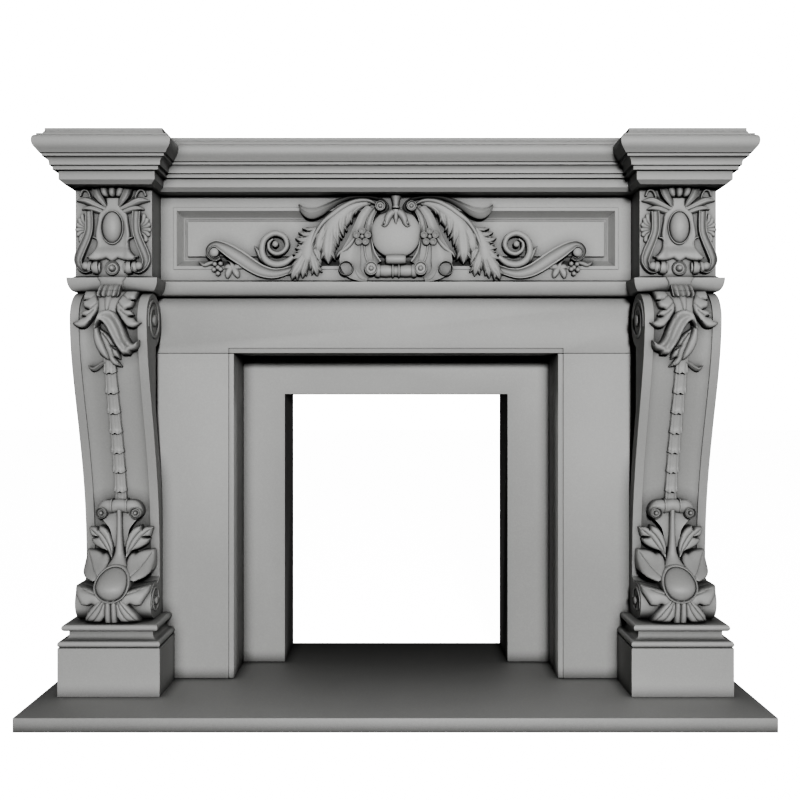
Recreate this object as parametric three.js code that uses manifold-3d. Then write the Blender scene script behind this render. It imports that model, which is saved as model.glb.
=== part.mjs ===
// Carved stone mantelpiece around an open fire, in millimetres.
// X runs along the shelf to the right, Y runs from the room into the wall and Z runs up.
// The origin lies under the middle of the hearth, on the floor.

import * as THREE from 'three';
import { mergeVertices } from 'three/addons/utils/BufferGeometryUtils.js';
import Module from 'manifold-3d';

const wasm = await Module();
wasm.setup();

// Joint left between two stones that touch
const JOINT = 0.3;

// Hearth: a slab in front of the surround, with a tongue under the lining
const HEARTH_W = 1574;
const HEARTH_T = 30;
const HEARTH_PROJECTION = 281.2;

// Surround: two jambs and a header, flush in front, standing against the wall
const OPENING_W = 761.2;
const OPENING_H = 763.4;
const SURROUND_W = 1435.2;
const SURROUND_T = 145.2;
const OPENING_ARRIS = 12;
const OPENING_ARRIS_DEPTH = 3;

// Lining that reaches back into the chimney opening
const LINING_OPENING_W = 555.4;
const LINING_OPENING_H = 668;
const LINING_OVERLAP = 40;
const LINING_DEPTH = 189.6;

// Legs and the blocks above and below them share one centre line
const LEG_SPACING = 1263.8;
const LEG_W = 169.4;
const LEG_H = 737.6;

// Plinth: a die with a torus, a scotia and an upper torus
const PLINTH_W = 225.3;
const PLINTH_PROJECTION = 141;
const DIE_H = 107.5;
const LOWER_TORUS_R = 7.5;
const UPPER_TORUS_R = 7.5;
const SCOTIA_H = 12;
const SCOTIA_DEPTH = 19.5;
const NECK_H = 7.5;
const UPPER_TORUS_INSET = 6.2;

// Console leg: a volute at the top, a scroll at the foot and a thin body between them
const VOLUTE_R = 62;
const VOLUTE_PROJECTION = 144.2;
const SCROLL_R = 41;
const SCROLL_PROJECTION = 110.2;
const BODY_T = 36;
const BODY_PROJECTION = 28.2;
const BODY_RISE = 112;
const BODY_BEND = 1.35;
const NECK_SETBACK = 63;
const FILLET_W = 20.5;
const FLUTE_DEPTH = 4.5;
const HUSK_W = 32;
const HUSK_RISE = 8;
const HUSK_PITCH = 45;
const SIDE_RELIEF = 3.5;
const SIDE_RING_R = 33;
const SIDE_EYE_R = 14;
const SCROLL_RING_R = 22;

// Carving: how far its back lies inside the stone, and the finest detail it keeps
const CARVING_BED = 14;
const CARVING_GRAIN = 3.8;

// Frieze: a block over each leg and a panel between them, with an ovolo along the foot
const FRIEZE_H = 231.6;
const BLOCK_W = 171.4;
const BLOCK_PROJECTION = 101.7;
const PANEL_PROJECTION = 23.7;
const OVOLO_H = 31;
const OVOLO_PROJECTION = 15.4;
const OVOLO_CHAMFER = 5;

// Moulded frame sunk into the panel around a raised field
const FRAME_MARGIN_X = 30.4;
const FRAME_MARGIN_TOP = 27.5;
const FRAME_MARGIN_BOTTOM = 31;
const FRAME_FILLET = 7;
const FRAME_FILLET_RISE = 1.5;
const FRAME_COVE_W = 17;
const FRAME_COVE_DEPTH = 9;
const FRAME_FLAT = 6.5;
const FIELD_RISE = 3;

// Cornice shelf, from the chamfer under it to the cap; each width stands out from the stone below
const CORNICE_OVERHANG = 34.1;
const CHAMFER_H = 8.5;
const CHAMFER_OUT = 9.4;
const FASCIA_H = 19.2;
const FASCIA_OUT = 19.4;
const FILLET_H = 9;
const FILLET_OUT = 9.7;
const COVE_FOOT_H = 3.2;
const COVE_FOOT_OUT = 5.7;
const COVE_H = 13.6;
const COVE_OUT = 10.2;
const LISTEL_H = 6.2;
const LISTEL_OUT = 1.2;
const NOSE_FOOT_OUT = 4.3;
const NOSE_H = 36.2;
const NOSE_OUT = 12.9;
const NOSE_FILLET_H = 4.4;
const NOSE_FILLET_INSET = 8.4;
const CAP_H = 14.6;
const CAP_INSET = 10.1;
const CAP_TAPER = 3.4;

// Places that follow from the sizes above
const depth = HEARTH_PROJECTION + SURROUND_T + LINING_DEPTH;
const yHearth = -depth / 2;
const ySurround = yHearth + HEARTH_PROJECTION;
const yWall = ySurround + SURROUND_T;
const yBack = yWall + LINING_DEPTH;
const yPlinth = ySurround - PLINTH_PROJECTION;
const yBlock = ySurround - BLOCK_PROJECTION;
const yPanel = ySurround - PANEL_PROJECTION;
const xLeg = LEG_SPACING / 2;
const zHearth = HEARTH_T;
const plinthH = DIE_H + 2 * LOWER_TORUS_R + SCOTIA_H + NECK_H + 2 * UPPER_TORUS_R;
const zPlinthTop = zHearth + JOINT + plinthH;
const zLeg = zPlinthTop + JOINT;
const zLegTop = zLeg + LEG_H;
const zFrieze = zLegTop + JOINT;
const zFriezeTop = zFrieze + FRIEZE_H;
const zShelf = zFriezeTop + JOINT;
const zOpeningTop = zHearth + OPENING_H;

const stone = new THREE.MeshStandardMaterial({ color: 0x9c9b98, roughness: 0.62, metalness: 0 });

// Solid helpers

// A closed body from corners and triangles, turned so that its faces point out
function body(corners, faces) {
  let volume = 0;
  for (const [a, b, c] of faces) {
    volume += corners[a].dot(corners[b].clone().cross(corners[c]));
  }
  const turned = volume < 0 ? faces.map(([a, b, c]) => [a, c, b]) : faces;
  const vertProperties = new Float32Array(corners.flatMap((v) => [v.x, v.y, v.z]));
  const triVerts = new Uint32Array(turned.flat());
  return new wasm.Manifold(new wasm.Mesh({ numProp: 3, vertProperties, triVerts }));
}

// Triangles that fill one flat outline, wound the same way as the outline
function fill(ring) {
  const normal = new THREE.Vector3();
  ring.forEach((v, i) => normal.add(v.clone().cross(ring[(i + 1) % ring.length])));
  const size = [Math.abs(normal.x), Math.abs(normal.y), Math.abs(normal.z)];
  const drop = size.indexOf(Math.max(...size));
  const [p, q] = [0, 1, 2].filter((k) => k !== drop);
  const flat = ring.map((v) => new THREE.Vector2(v.getComponent(p), v.getComponent(q)));
  const sense = Math.sign(THREE.ShapeUtils.area(flat));
  return THREE.ShapeUtils.triangulateShape(flat, []).map(([a, b, c]) => {
    const same = Math.sign(THREE.ShapeUtils.area([flat[a], flat[b], flat[c]])) === sense;
    return same ? [a, b, c] : [a, c, b];
  });
}

// A body drawn through outlines that all have the same number of corners
function loft(rings) {
  const count = rings[0].length;
  const last = (rings.length - 1) * count;
  const faces = [];
  for (let i = 0; i < last; i += count) {
    for (let j = 0; j < count; j += 1) {
      const a = i + j;
      const b = i + ((j + 1) % count);
      faces.push([a, b, b + count], [a, b + count, a + count]);
    }
  }
  fill(rings[0]).forEach(([a, b, c]) => faces.push([a, c, b]));
  fill(rings[rings.length - 1]).forEach(([a, b, c]) => faces.push([last + a, last + b, last + c]));
  return body(rings.flat(), faces);
}

// A three.js geometry as a solid
function solid(geometry) {
  geometry.deleteAttribute('normal');
  geometry.deleteAttribute('uv');
  const merged = mergeVertices(geometry);
  const vertProperties = new Float32Array(merged.attributes.position.array);
  const triVerts = new Uint32Array(merged.index.array);
  return new wasm.Manifold(new wasm.Mesh({ numProp: 3, vertProperties, triVerts }));
}

// A block between two corners
function block(x0, x1, y0, y1, z0, z1) {
  const geometry = new THREE.BoxGeometry(x1 - x0, y1 - y0, z1 - z0);
  geometry.translate((x0 + x1) / 2, (y0 + y1) / 2, (z0 + z1) / 2);
  return solid(geometry);
}

// A moulding built up from level plan outlines; each step gives how far it stands out and its height
function moulding(steps, plan) {
  return loft(steps.map(([out, z]) => plan(out).map(([x, y]) => new THREE.Vector3(x, y, z))));
}

// Points of an arc; angles in degrees, 0 along the first axis
function arc(cx, cy, rx, ry, from, to, steps) {
  return Array.from({ length: steps + 1 }, (_, i) => {
    const angle = THREE.MathUtils.degToRad(from + ((to - from) * i) / steps);
    return [cx + rx * Math.cos(angle), cy + ry * Math.sin(angle)];
  });
}

const group = new THREE.Group();

// Small pockets closed in behind the carving are solid stone, so only the outer skin is kept
function addStone(name, made) {
  const skin = made.decompose().reduce((a, b) => (b.volume() > a.volume() ? b : a));
  const { vertProperties, triVerts } = skin.getMesh();
  const geometry = new THREE.BufferGeometry();
  geometry.setAttribute('position', new THREE.BufferAttribute(new Float32Array(vertProperties), 3));
  geometry.setIndex(new THREE.BufferAttribute(new Uint32Array(triVerts), 1));
  geometry.computeVertexNormals();
  const mesh = new THREE.Mesh(geometry, stone);
  mesh.name = name;
  group.add(mesh);
}

// Carving
// A carving is laid out in u across and w up, in millimetres from the foot of its piece.
// The surface it lies on turns u, w and a rise into a point, and gives the stone behind it.

const RIDGE = [[-1, 0.35], [0, 1], [1, 0.35]];
const ROUND = [[-1, 0.3], [-0.55, 0.85], [0.55, 0.85], [1, 0.3]];
const CHANNEL = [[-1, 0.75], [-0.72, 1], [0, 0.35], [0.72, 1], [1, 0.75]];

// A tapering strip along a curve through [u, w, half width] points
function strip(surface, path, section, rise, steps = path.length - 1) {
  const points = path.map(([u, w, half]) => new THREE.Vector3(u, w, half));
  const curve = new THREE.CatmullRomCurve3(points);
  const widest = Math.max(...path.map((p) => p[2]));
  const rings = [];
  for (let i = 0; i <= steps; i += 1) {
    const at = curve.getPoint(i / steps);
    const along = curve.getTangent(i / steps);
    const side = new THREE.Vector2(-along.y, along.x).normalize();
    const half = Math.max(at.z, 0.5);
    const high = rise * (0.4 + 0.6 * Math.min(1, half / widest));
    const across = (share) => [at.x + side.x * half * share, at.y + side.y * half * share];
    const ring = section.map(([share, up]) => surface.top(...across(share), high * up));
    ring.push(surface.ground(...across(1)), surface.ground(...across(-1)));
    rings.push(ring);
  }
  return loft(rings);
}

// A rounded boss, oval when the radii differ
function boss(surface, [u, w, ru, rw = ru], rise, sides = 10) {
  const outline = (share) => arc(u, w, ru * share, rw * share, 0, 360 - 360 / sides, sides - 1);
  return loft([
    outline(1).map(([a, b]) => surface.ground(a, b)),
    outline(1).map(([a, b]) => surface.top(a, b, rise * 0.45)),
    outline(0.62).map(([a, b]) => surface.top(a, b, rise)),
  ]);
}

// A stone with its carving grown onto it
function carved(stoneBody, parts, grain = CARVING_GRAIN) {
  const relief = parts.reduce((all, part) => all.add(part)).simplify(CARVING_GRAIN);
  return stoneBody.add(relief).simplify(grain);
}

// A face towards the room; the carving on it can be mirrored about its own centre line
function facing(centre, side, foot, standOut) {
  return {
    top: (u, w, rise) => new THREE.Vector3(centre + side * u, standOut(w) - rise, foot + w),
    ground: (u, w) => new THREE.Vector3(centre + side * u, standOut(w) + CARVING_BED, foot + w),
  };
}

// Hearth
{
  const front = block(-HEARTH_W / 2, HEARTH_W / 2, yHearth, yWall, 0, HEARTH_T);
  const liningHalf = OPENING_W / 2 + LINING_OVERLAP;
  const tongue = block(-liningHalf, liningHalf, yWall - 1, yBack, 0, HEARTH_T);
  addStone('hearth_slab', front.add(tongue));
}

// Surround: jambs, header and the lining behind them
{
  const z0 = zHearth + JOINT;
  const outer = SURROUND_W / 2;
  const inner = OPENING_W / 2;
  const sunk = ySurround + OPENING_ARRIS_DEPTH;
  const top = zLegTop;
  for (const side of [-1, 1]) {
    const jambPlan = [
      [inner, yWall],
      [inner, sunk],
      [inner + OPENING_ARRIS, sunk],
      [inner + OPENING_ARRIS, ySurround],
      [outer, ySurround],
      [outer, yWall],
    ];
    const jamb = moulding([[0, z0],
      [0, zOpeningTop - JOINT]], () => jambPlan.map(([x, y]) => [side * x, y]));
    addStone(side < 0 ? 'surround_jamb_left' : 'surround_jamb_right', jamb);
  }
  const beam = block(-outer, outer, ySurround, yWall, zOpeningTop, top);
  const edge = inner + OPENING_ARRIS;
  const rebate = block(-edge, edge, ySurround - 1, sunk, zOpeningTop - 1, zOpeningTop + OPENING_ARRIS);
  addStone('surround_header', beam.subtract(rebate));

  const half = LINING_OPENING_W / 2;
  const far = inner + LINING_OVERLAP;
  const lintel = z0 + LINING_OPENING_H;
  const outline = [
    [-far, z0],
    [-half, z0],
    [-half, lintel],
    [half, lintel],
    [half, z0],
    [far, z0],
    [far, zOpeningTop + LINING_OVERLAP],
    [-far, zOpeningTop + LINING_OVERLAP],
  ];
  const face = (y) => outline.map(([x, z]) => new THREE.Vector3(x, y, z));
  addStone('inner_frame', loft([face(yWall + JOINT), face(yBack)]));
}

// Plinths: the mouldings return along both sides
{
  const z0 = zHearth + JOINT;
  const zDie = z0 + DIE_H;
  const zScotia = zDie + 2 * LOWER_TORUS_R;
  const zNeck = zScotia + SCOTIA_H;
  const zUpper = zNeck + NECK_H;
  const lowerIn = -LOWER_TORUS_R;
  const upperIn = -UPPER_TORUS_INSET - UPPER_TORUS_R;
  const steps = [
    [0, z0],
    [0, zDie],
    ...arc(lowerIn, zDie + LOWER_TORUS_R, LOWER_TORUS_R + 0.5, LOWER_TORUS_R, -75, 90, 5),
    [-SCOTIA_DEPTH * 0.75, zScotia + SCOTIA_H * 0.35],
    [-SCOTIA_DEPTH, zNeck],
    [-SCOTIA_DEPTH, zUpper],
    ...arc(upperIn, zUpper + UPPER_TORUS_R, UPPER_TORUS_R, UPPER_TORUS_R, -90, 90, 6),
  ];
  for (const side of [-1, 1]) {
    const plan = (out) => {
      const half = PLINTH_W / 2 + out;
      const x = side * xLeg;
      const y = yPlinth - out;
      const back = ySurround - JOINT;
      return [[x - half, back], [x - half, y], [x + half, y], [x + half, back]];
    };
    addStone(side < 0 ? 'plinth_left' : 'plinth_right', moulding(steps, plan));
  }
}

// Console legs
// The side view is an S: the volute stands out at the top, the body thins and swings back,
// and the scroll at the foot stands on the plinth. All heights here are from the leg's foot.
const yVolute = ySurround - VOLUTE_PROJECTION + VOLUTE_R;
const yScroll = ySurround - SCROLL_PROJECTION + SCROLL_R;
const wVolute = LEG_H - VOLUTE_R;

// How far forward a circle reaches at a height, or nothing beside it
function circleFront(y, w, radius, at) {
  const off = at - w;
  return Math.abs(off) < radius ? y - Math.sqrt(radius * radius - off * off) : Infinity;
}

function bodyFront(w) {
  const start = 2 * SCROLL_R;
  const t = THREE.MathUtils.clamp((w - start) / (wVolute - start), 0, 1);
  const bent = t ** BODY_BEND;
  const lift = bent * bent * (3 - 2 * bent);
  return ySurround - BODY_PROJECTION - (VOLUTE_PROJECTION - BODY_PROJECTION) * lift;
}

function legFront(w) {
  const volute = circleFront(yVolute, wVolute, VOLUTE_R, Math.min(w, LEG_H - 1.5));
  if (w > wVolute) {
    return volute;
  }
  return Math.min(bodyFront(w), circleFront(yScroll, SCROLL_R, SCROLL_R, w));
}

// The leaves at the foot drape forward from the body over the scroll
function footDrape(u, w) {
  const reach = VOLUTE_PROJECTION * 0.76;
  const fall = THREE.MathUtils.smoothstep(w, 70, 150);
  const middle = ySurround - THREE.MathUtils.lerp(reach, 48, fall);
  const edge = legFront(Math.min(w, 72)) * (1 - fall) + bodyFront(w) * fall;
  const out = Math.min(1, Math.abs(u) / (LEG_W / 2));
  return Math.min(legFront(w), THREE.MathUtils.lerp(middle, edge, out * out));
}

function legSide() {
  const back = ySurround - JOINT;
  const front = [];
  const behind = [];
  const low = 2 * SCROLL_R + 6;
  for (let i = 0; i <= 8; i += 1) {
    const w = low + ((wVolute - low) * i) / 8;
    front.push([bodyFront(w), w]);
  }
  const neck = wVolute - VOLUTE_R;
  for (let i = 0; i <= 6; i += 1) {
    const w = neck - ((neck - BODY_RISE) * i) / 6;
    const thick = Math.max(bodyFront(w) + BODY_T, ySurround - NECK_SETBACK);
    if (thick < back) {
      behind.push([thick, w]);
    }
  }
  return [
    [back, 0],
    ...arc(yScroll, SCROLL_R, SCROLL_R, SCROLL_R, 270, 60, 7),
    ...front,
    ...arc(yVolute, wVolute, VOLUTE_R, VOLUTE_R, 165, -75, 12),
    ...behind,
    [back, behind[behind.length - 1][1] - BODY_T],
  ];
}

// Hollows across the face: [distance from the centre line, depth]
const flutes = [
  [LEG_W / 2, 0],
  [LEG_W / 2 - FILLET_W, 0],
  [(LEG_W / 2 - FILLET_W + HUSK_W / 2) / 2, FLUTE_DEPTH],
  [HUSK_W / 2, 0],
];

const footLeaves = [
  [[14, 128, 7], [38, 174, 16], [57, 193, 13], [73, 203, 1]],
  [[16, 126, 6], [42, 156, 13], [65, 175, 1]],
  [[18, 108, 8], [42, 112, 22], [62, 126, 16], [75, 151, 1]],
  [[32, 82, 8], [58, 92, 14], [72, 112, 9], [76, 146, 1]],
  [[26, 60, 10], [56, 63, 20], [76, 68, 14], [92, 76, 1]],
  [[18, 58, 12], [34, 32, 21], [46, 6, 13]],
];
const crownLeaves = [
  [[14, 722, 12], [44, 717, 13], [58, 706, 1]],
  [[18, 698, 9], [48, 684, 10], [62, 672, 1]],
  [[20, 686, 9], [50, 664, 9], [66, 655, 5], [78, 663, 1]],
];
const crownCurl = [
  [[-4, 650, 9], [-6, 668, 13], [10, 676, 14], [32, 662, 17], [41, 640, 19], [53, 616, 18], [68, 608, 9],
    [80, 621, 1]],
  [[-14, 664, 8], [-12, 634, 12], [-6, 604, 13], [2, 578, 1]],
  [[-4, 654, 6], [8, 619, 14], [19, 590, 13], [28, 567, 1]],
];
const crownRise = 22;

for (const side of [-1, 1]) {
  const x = side * xLeg;
  const profile = legSide();
  const stations = [...flutes.map(([u, cut]) => [-u, cut]), ...[...flutes].reverse()];
  const rings = stations.map(([u, cut]) => profile.map(([y, w]) => {
    const onFace = w > 2 * SCROLL_R && Math.abs(y - bodyFront(w)) < 0.01;
    return new THREE.Vector3(x + u, onFace ? y + cut : y, zLeg + w);
  }));
  let leg = loft(rings);

  const disc = (y, w, from, out, radius) => {
    const wheel = new THREE.CylinderGeometry(radius, radius, out - from, 12);
    wheel.rotateZ(Math.PI / 2);
    wheel.translate((from + out) / 2, y, zLeg + w);
    return solid(wheel);
  };
  const sideOut = LEG_W / 2 + SIDE_RELIEF;
  const eyeOut = sideOut + SIDE_RELIEF;
  leg = leg.add(disc(yVolute, wVolute, x - sideOut, x + sideOut, SIDE_RING_R));
  leg = leg.add(disc(yVolute, wVolute, x - eyeOut, x + eyeOut, SIDE_EYE_R));
  leg = leg.add(disc(yScroll, SCROLL_R, x - sideOut, x + sideOut, SCROLL_RING_R));

  const face = (mirror) => facing(x, mirror, zLeg, legFront);
  const foot = (mirror) => ({
    top: (u, w, rise) => new THREE.Vector3(x + mirror * u, footDrape(u, w) - rise, zLeg + Math.max(w, 0.5)),
    ground: (u, w) => new THREE.Vector3(x + mirror * u, bodyFront(w) + CARVING_BED, zLeg + Math.max(w, 0.5)),
  });

  const parts = [];
  const chainTop = wVolute - VOLUTE_R - 18;
  const chainFoot = 262;
  for (let w = chainTop; w > chainFoot; w -= HUSK_PITCH) {
    const tip = Math.max(w - HUSK_PITCH + 1, chainFoot - 8);
    const husk = [[0, w, HUSK_W * 0.32], [0, (w + tip) / 2, HUSK_W * 0.44], [0, tip, HUSK_W / 2]];
    parts.push(strip(face(1), husk, RIDGE, HUSK_RISE, 2));
  }

  for (const mirror of [-1, 1]) {
    parts.push(...footLeaves.map((path) => strip(foot(mirror), path, RIDGE, 10)));
    parts.push(...crownLeaves.map((path) => strip(face(mirror), path, RIDGE, 9)));
    parts.push(strip(foot(mirror), [[0, 258, 12], [26, 254, 14], [40, 240, 11]], ROUND, 15));
    parts.push(boss(face(mirror), [38, 240, 13], 16, 8));
  }
  parts.push(strip(foot(1), [[0, 246, 7], [0, 178, 9], [0, 135, 15], [0, 112, 24]], RIDGE, 8));
  parts.push(strip(foot(1), [[0, 66, 12], [0, 30, 15], [0, 4, 13]], RIDGE, 11));
  parts.push(boss(foot(1), [0, 85, 36], 16, 14));
  parts.push(strip(face(1), [[0, 732, 24], [0, 716, 20]], ROUND, 24, 2));
  parts.push(boss(face(1), [0, 695, 34, 34], 10, 10));
  parts.push(...crownCurl.map((path) => strip(face(-side), path, RIDGE, crownRise)));
  leg = carved(leg, parts);

  const stoneAbove = block(x - LEG_W, x + LEG_W, yHearth, yWall, zLegTop, zFriezeTop);
  const stoneBelow = block(x - LEG_W, x + LEG_W, yHearth, yWall, zHearth, zLeg);
  const stoneBehind = block(x - LEG_W, x + LEG_W, ySurround - JOINT, yWall, zHearth, zFriezeTop);
  leg = leg.subtract(stoneAbove).subtract(stoneBelow).subtract(stoneBehind);
  addStone(side < 0 ? 'leg_left' : 'leg_right', leg);
}

// Frieze
const ovoloSteps = [
  ...arc(0, OVOLO_H, OVOLO_PROJECTION, OVOLO_H, -87, 0, 4),
  [OVOLO_CHAMFER / 2, OVOLO_H + 1],
  [0.6, OVOLO_H + OVOLO_CHAMFER],
];

// How far the face of a frieze stone stands out at a height, with its ovolo
function ovoloOut(w) {
  if (w > OVOLO_H) {
    return 0;
  }
  const drop = 1 - Math.max(w, 0) / OVOLO_H;
  return OVOLO_PROJECTION * Math.sqrt(Math.max(0, 1 - drop * drop));
}

// Cartouche on each block: a shield with an oval boss between two scrolled straps
const shield = [[0, 208, 20], [0, 193, 18], [0, 177, 25], [0, 142, 37], [0, 114, 39], [0, 96, 44],
  [0, 80, 51], [0, 71, 44]];
const skirt = [[0, 84, 36], [0, 66, 30], [0, 51, 29], [0, 38, 36], [0, 26, 26], [0, 3, 24]];
const cartoucheHalf = [
  [[[30, 229, 7], [23, 212, 6], [14, 194, 3]], RIDGE, 15],
  [[[26, 193, 4], [42, 209, 7], [54, 220, 6], [65, 219, 3]], RIDGE, 9],
  [[[20, 188, 6], [40, 196, 8], [59, 201, 6], [77, 204, 1]], RIDGE, 11],
  [[[20, 178, 5], [38, 182, 6], [52, 183, 4], [65, 181, 1]], RIDGE, 11],
  [[[49, 178, 8], [50, 141, 8], [53, 118, 9], [60, 96, 9], [67, 76, 8], [70, 58, 5],
    [60, 43, 5]], CHANNEL, 14],
  [[[56, 54, 12], [42, 53, 14], [27, 52, 12]], ROUND, 15],
  [[[52, 160, 5], [68, 164, 8], [74, 168, 2]], RIDGE, 8],
  [[[52, 141, 6], [70, 143, 9], [80, 143, 2]], RIDGE, 8],
  [[[54, 124, 6], [70, 121, 8], [78, 117, 2]], RIDGE, 8],
];

for (const side of [-1, 1]) {
  const x = side * xLeg;
  const half = BLOCK_W / 2;
  const inward = -side;
  const edgeIn = x + inward * half;
  const edgeOut = x - inward * half;
  const mitre = yPanel - JOINT;
  const plan = (out) => [
    [edgeOut - inward * out, yWall],
    [edgeOut - inward * out, yBlock - out],
    [edgeIn + inward * out, yBlock - out],
    [edgeIn + inward * out, mitre - out],
    [edgeIn - inward * half, mitre - out],
    [edgeIn - inward * half, yWall],
  ];
  const core = block(x - half, x + half, yBlock, yWall, zFrieze, zFriezeTop);
  const lip = moulding(ovoloSteps.map(([out, w]) => [out, zFrieze + w]), plan);
  const parts = [];

  const face = (mirror) => facing(x, mirror, zFrieze, (w) => yBlock - ovoloOut(w));
  parts.push(strip(face(1), shield, ROUND, 10));
  parts.push(strip(face(1), skirt, ROUND, 12));
  parts.push(boss(face(1), [0, 141, 25, 38], 21, 12));
  parts.push(boss(face(1), [0, 50, 9], 20, 8));
  parts.push(strip(face(1), [[0, 229, 25], [0, 220, 22], [0, 212, 16]], RIDGE, 17, 2));
  for (const mirror of [-1, 1]) {
    parts.push(...cartoucheHalf.map(([path, section, rise]) => strip(face(mirror), path, section, rise)));
    parts.push(boss(face(mirror), [57, 55, 10], 18, 8));
  }
  let made = carved(core, parts).add(lip);
  const stoneAbove = block(x - 2 * half, x + 2 * half, yHearth, yWall, zFriezeTop, zFriezeTop + OVOLO_H);
  const stoneBelow = block(x - 2 * half, x + 2 * half, yHearth, yWall, zFrieze - OVOLO_H, zFrieze);
  made = made.subtract(stoneAbove).subtract(stoneBelow);
  addStone(side < 0 ? 'frieze_block_left' : 'frieze_block_right', made);
}

// Panel between the blocks, with a sunk frame and a raised field
{
  const half = xLeg - BLOCK_W / 2 - JOINT;
  const rect = (x, low, high, y) => [
    new THREE.Vector3(-x, y, low),
    new THREE.Vector3(x, y, low),
    new THREE.Vector3(x, y, high),
    new THREE.Vector3(-x, y, high),
  ];
  const sunkFrame = (inset, y) => {
    const low = zFrieze + OVOLO_H + FRAME_MARGIN_BOTTOM + inset;
    return rect(half - FRAME_MARGIN_X - inset, low, zFriezeTop - FRAME_MARGIN_TOP - inset, y);
  };
  const top = yPanel - FRAME_FILLET_RISE;
  const floor = yPanel + FRAME_COVE_DEPTH;
  const coveIn = FRAME_FILLET + FRAME_COVE_W;
  const cove = arc(coveIn, top, FRAME_COVE_W, floor - top, 180, 90, 2);
  const slab = loft([
    rect(half, zFrieze, zFriezeTop, yWall),
    rect(half, zFrieze, zFriezeTop, yPanel),
    sunkFrame(0, yPanel),
    sunkFrame(0.2, top),
    ...cove.map(([inset, y]) => sunkFrame(inset, y)),
    sunkFrame(coveIn + FRAME_FLAT, floor),
    sunkFrame(coveIn + FRAME_FLAT + 0.3, floor - FIELD_RISE),
  ]);
  const lipOutline = [
    [yPanel + 4, 0.1],
    ...ovoloSteps.map(([out, w]) => [yPanel - out, Math.max(w, 0.1)]),
    [yPanel + 4, OVOLO_H + OVOLO_CHAMFER],
  ];
  const lipEnd = (x) => lipOutline.map(([y, w]) => new THREE.Vector3(x, y, zFrieze + w));
  const parts = [];

  // Central cartouche and foliage, one half; u runs outward from the middle
  const foliage = [
    [[[225, 213, 1], [212, 196, 9], [191, 189, 13], [168, 195, 12], [147, 207, 8], [124, 218, 6],
      [98, 225, 5], [69, 226, 4], [44, 222, 5], [27, 215, 6], [22, 203, 6], [31, 194, 4]], RIDGE, 17, 8],
    [[[53, 216, 4], [81, 211, 8], [100, 197, 10], [107, 177, 1]], RIDGE, 12, 3],
    [[[100, 214, 8], [125, 186, 13], [126, 158, 10], [121, 139, 1]], RIDGE, 14, 3],
    [[[125, 206, 9], [139, 171, 13], [137, 140, 10], [133, 118, 1]], RIDGE, 14, 3],
    [[[141, 190, 9], [153, 151, 16], [154, 109, 17], [156, 75, 1]], RIDGE, 16, 3],
    [[[154, 177, 7], [172, 141, 13], [176, 112, 12], [180, 95, 2]], RIDGE, 13, 2],
    [[[160, 178, 5], [183, 152, 6], [194, 122, 8], [198, 98, 6]], RIDGE, 13, 2],
    [[[188, 143, 6], [212, 134, 9], [231, 138, 1]], RIDGE, 10, 2],
    [[[194, 120, 7], [216, 104, 11], [236, 92, 3]], RIDGE, 10, 2],
    [[[197, 113, 7], [222, 74, 15], [234, 52, 12], [240, 38, 2]], RIDGE, 13, 2],
    [[[196, 109, 8], [190, 79, 14], [182, 48, 1]], RIDGE, 12, 2],
    [[[190, 117, 7], [180, 95, 10], [173, 73, 1]], RIDGE, 11, 2],
    [[[60, 203, 14], [85, 178, 13], [98, 145, 17], [104, 113, 24], [100, 85, 26], [82, 58, 15],
      [60, 46, 10]], ROUND, 9, 5],
    [[[0, 190, 8], [14, 178, 9], [23, 160, 8]], RIDGE, 19, 2],
    [[[418, 112, 8], [410, 114, 13], [391, 107, 16], [356, 86, 16], [315, 60, 15], [280, 51, 12],
      [245, 59, 9], [222, 72, 7]], CHANNEL, 12, 5],
    [[[240, 86, 8], [257, 74, 9], [280, 71, 9], [302, 80, 9], [311, 101, 9], [308, 126, 8], [292, 143, 7],
      [272, 147, 6], [254, 136, 6], [250, 116, 6], [262, 101, 5], [280, 103, 5]], RIDGE, 11, 9],
    [[[296, 72, 5], [312, 88, 7], [319, 102, 6], [328, 115, 1]], RIDGE, 8, 2],
    [[[414, 82, 4], [435, 74, 6], [447, 71, 4], [458, 81, 1]], RIDGE, 6, 2],
  ];
  for (const mirror of [-1, 1]) {
    const face = facing(0, mirror, zFrieze, (w) => yPanel - ovoloOut(w));
    parts.push(...foliage.map(([path, section, rise, steps]) => strip(face, path, section, rise, steps)));
    parts.push(boss(face, [36, 207, 12], 19, 8));
    parts.push(boss(face, [115, 62, 17], 18, 8));
    parts.push(boss(face, [78, 135, 20], 14, 10));
    parts.push(boss(face, [58, 62, 15], 17, 8));
    parts.push(boss(face, [418, 99, 17], 13, 8));
    parts.push(boss(face, [277, 121, 11], 11, 6));
    parts.push(boss(face, [412, 64, 10, 14], 8, 6));
  }
  const face = facing(0, 1, zFrieze, (w) => yPanel - ovoloOut(w));
  parts.push(strip(face, [[-52, 58, 16], [0, 57, 17], [52, 58, 16]], ROUND, 18, 2));
  parts.push(strip(face, [[-24, 83, 9], [0, 83, 12], [24, 83, 9]], ROUND, 17, 2));
  parts.push(boss(face, [0, 144, 58], 14, 14));
  parts.push(strip(face, [[0, 230, 9], [0, 201, 7], [0, 187, 10]], ROUND, 18, 2));
  parts.push(strip(face, [[0, 186, 8], [0, 176, 8], [0, 163, 4]], RIDGE, 22, 2));
  const made = carved(slab, parts, FRAME_FILLET_RISE * 0.95).add(loft([lipEnd(-half), lipEnd(half)]));
  const stoneAbove = block(-half, half, yHearth, yWall, zFriezeTop, zFriezeTop + OVOLO_H);
  addStone('frieze_panel', made.subtract(stoneAbove));
}

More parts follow.
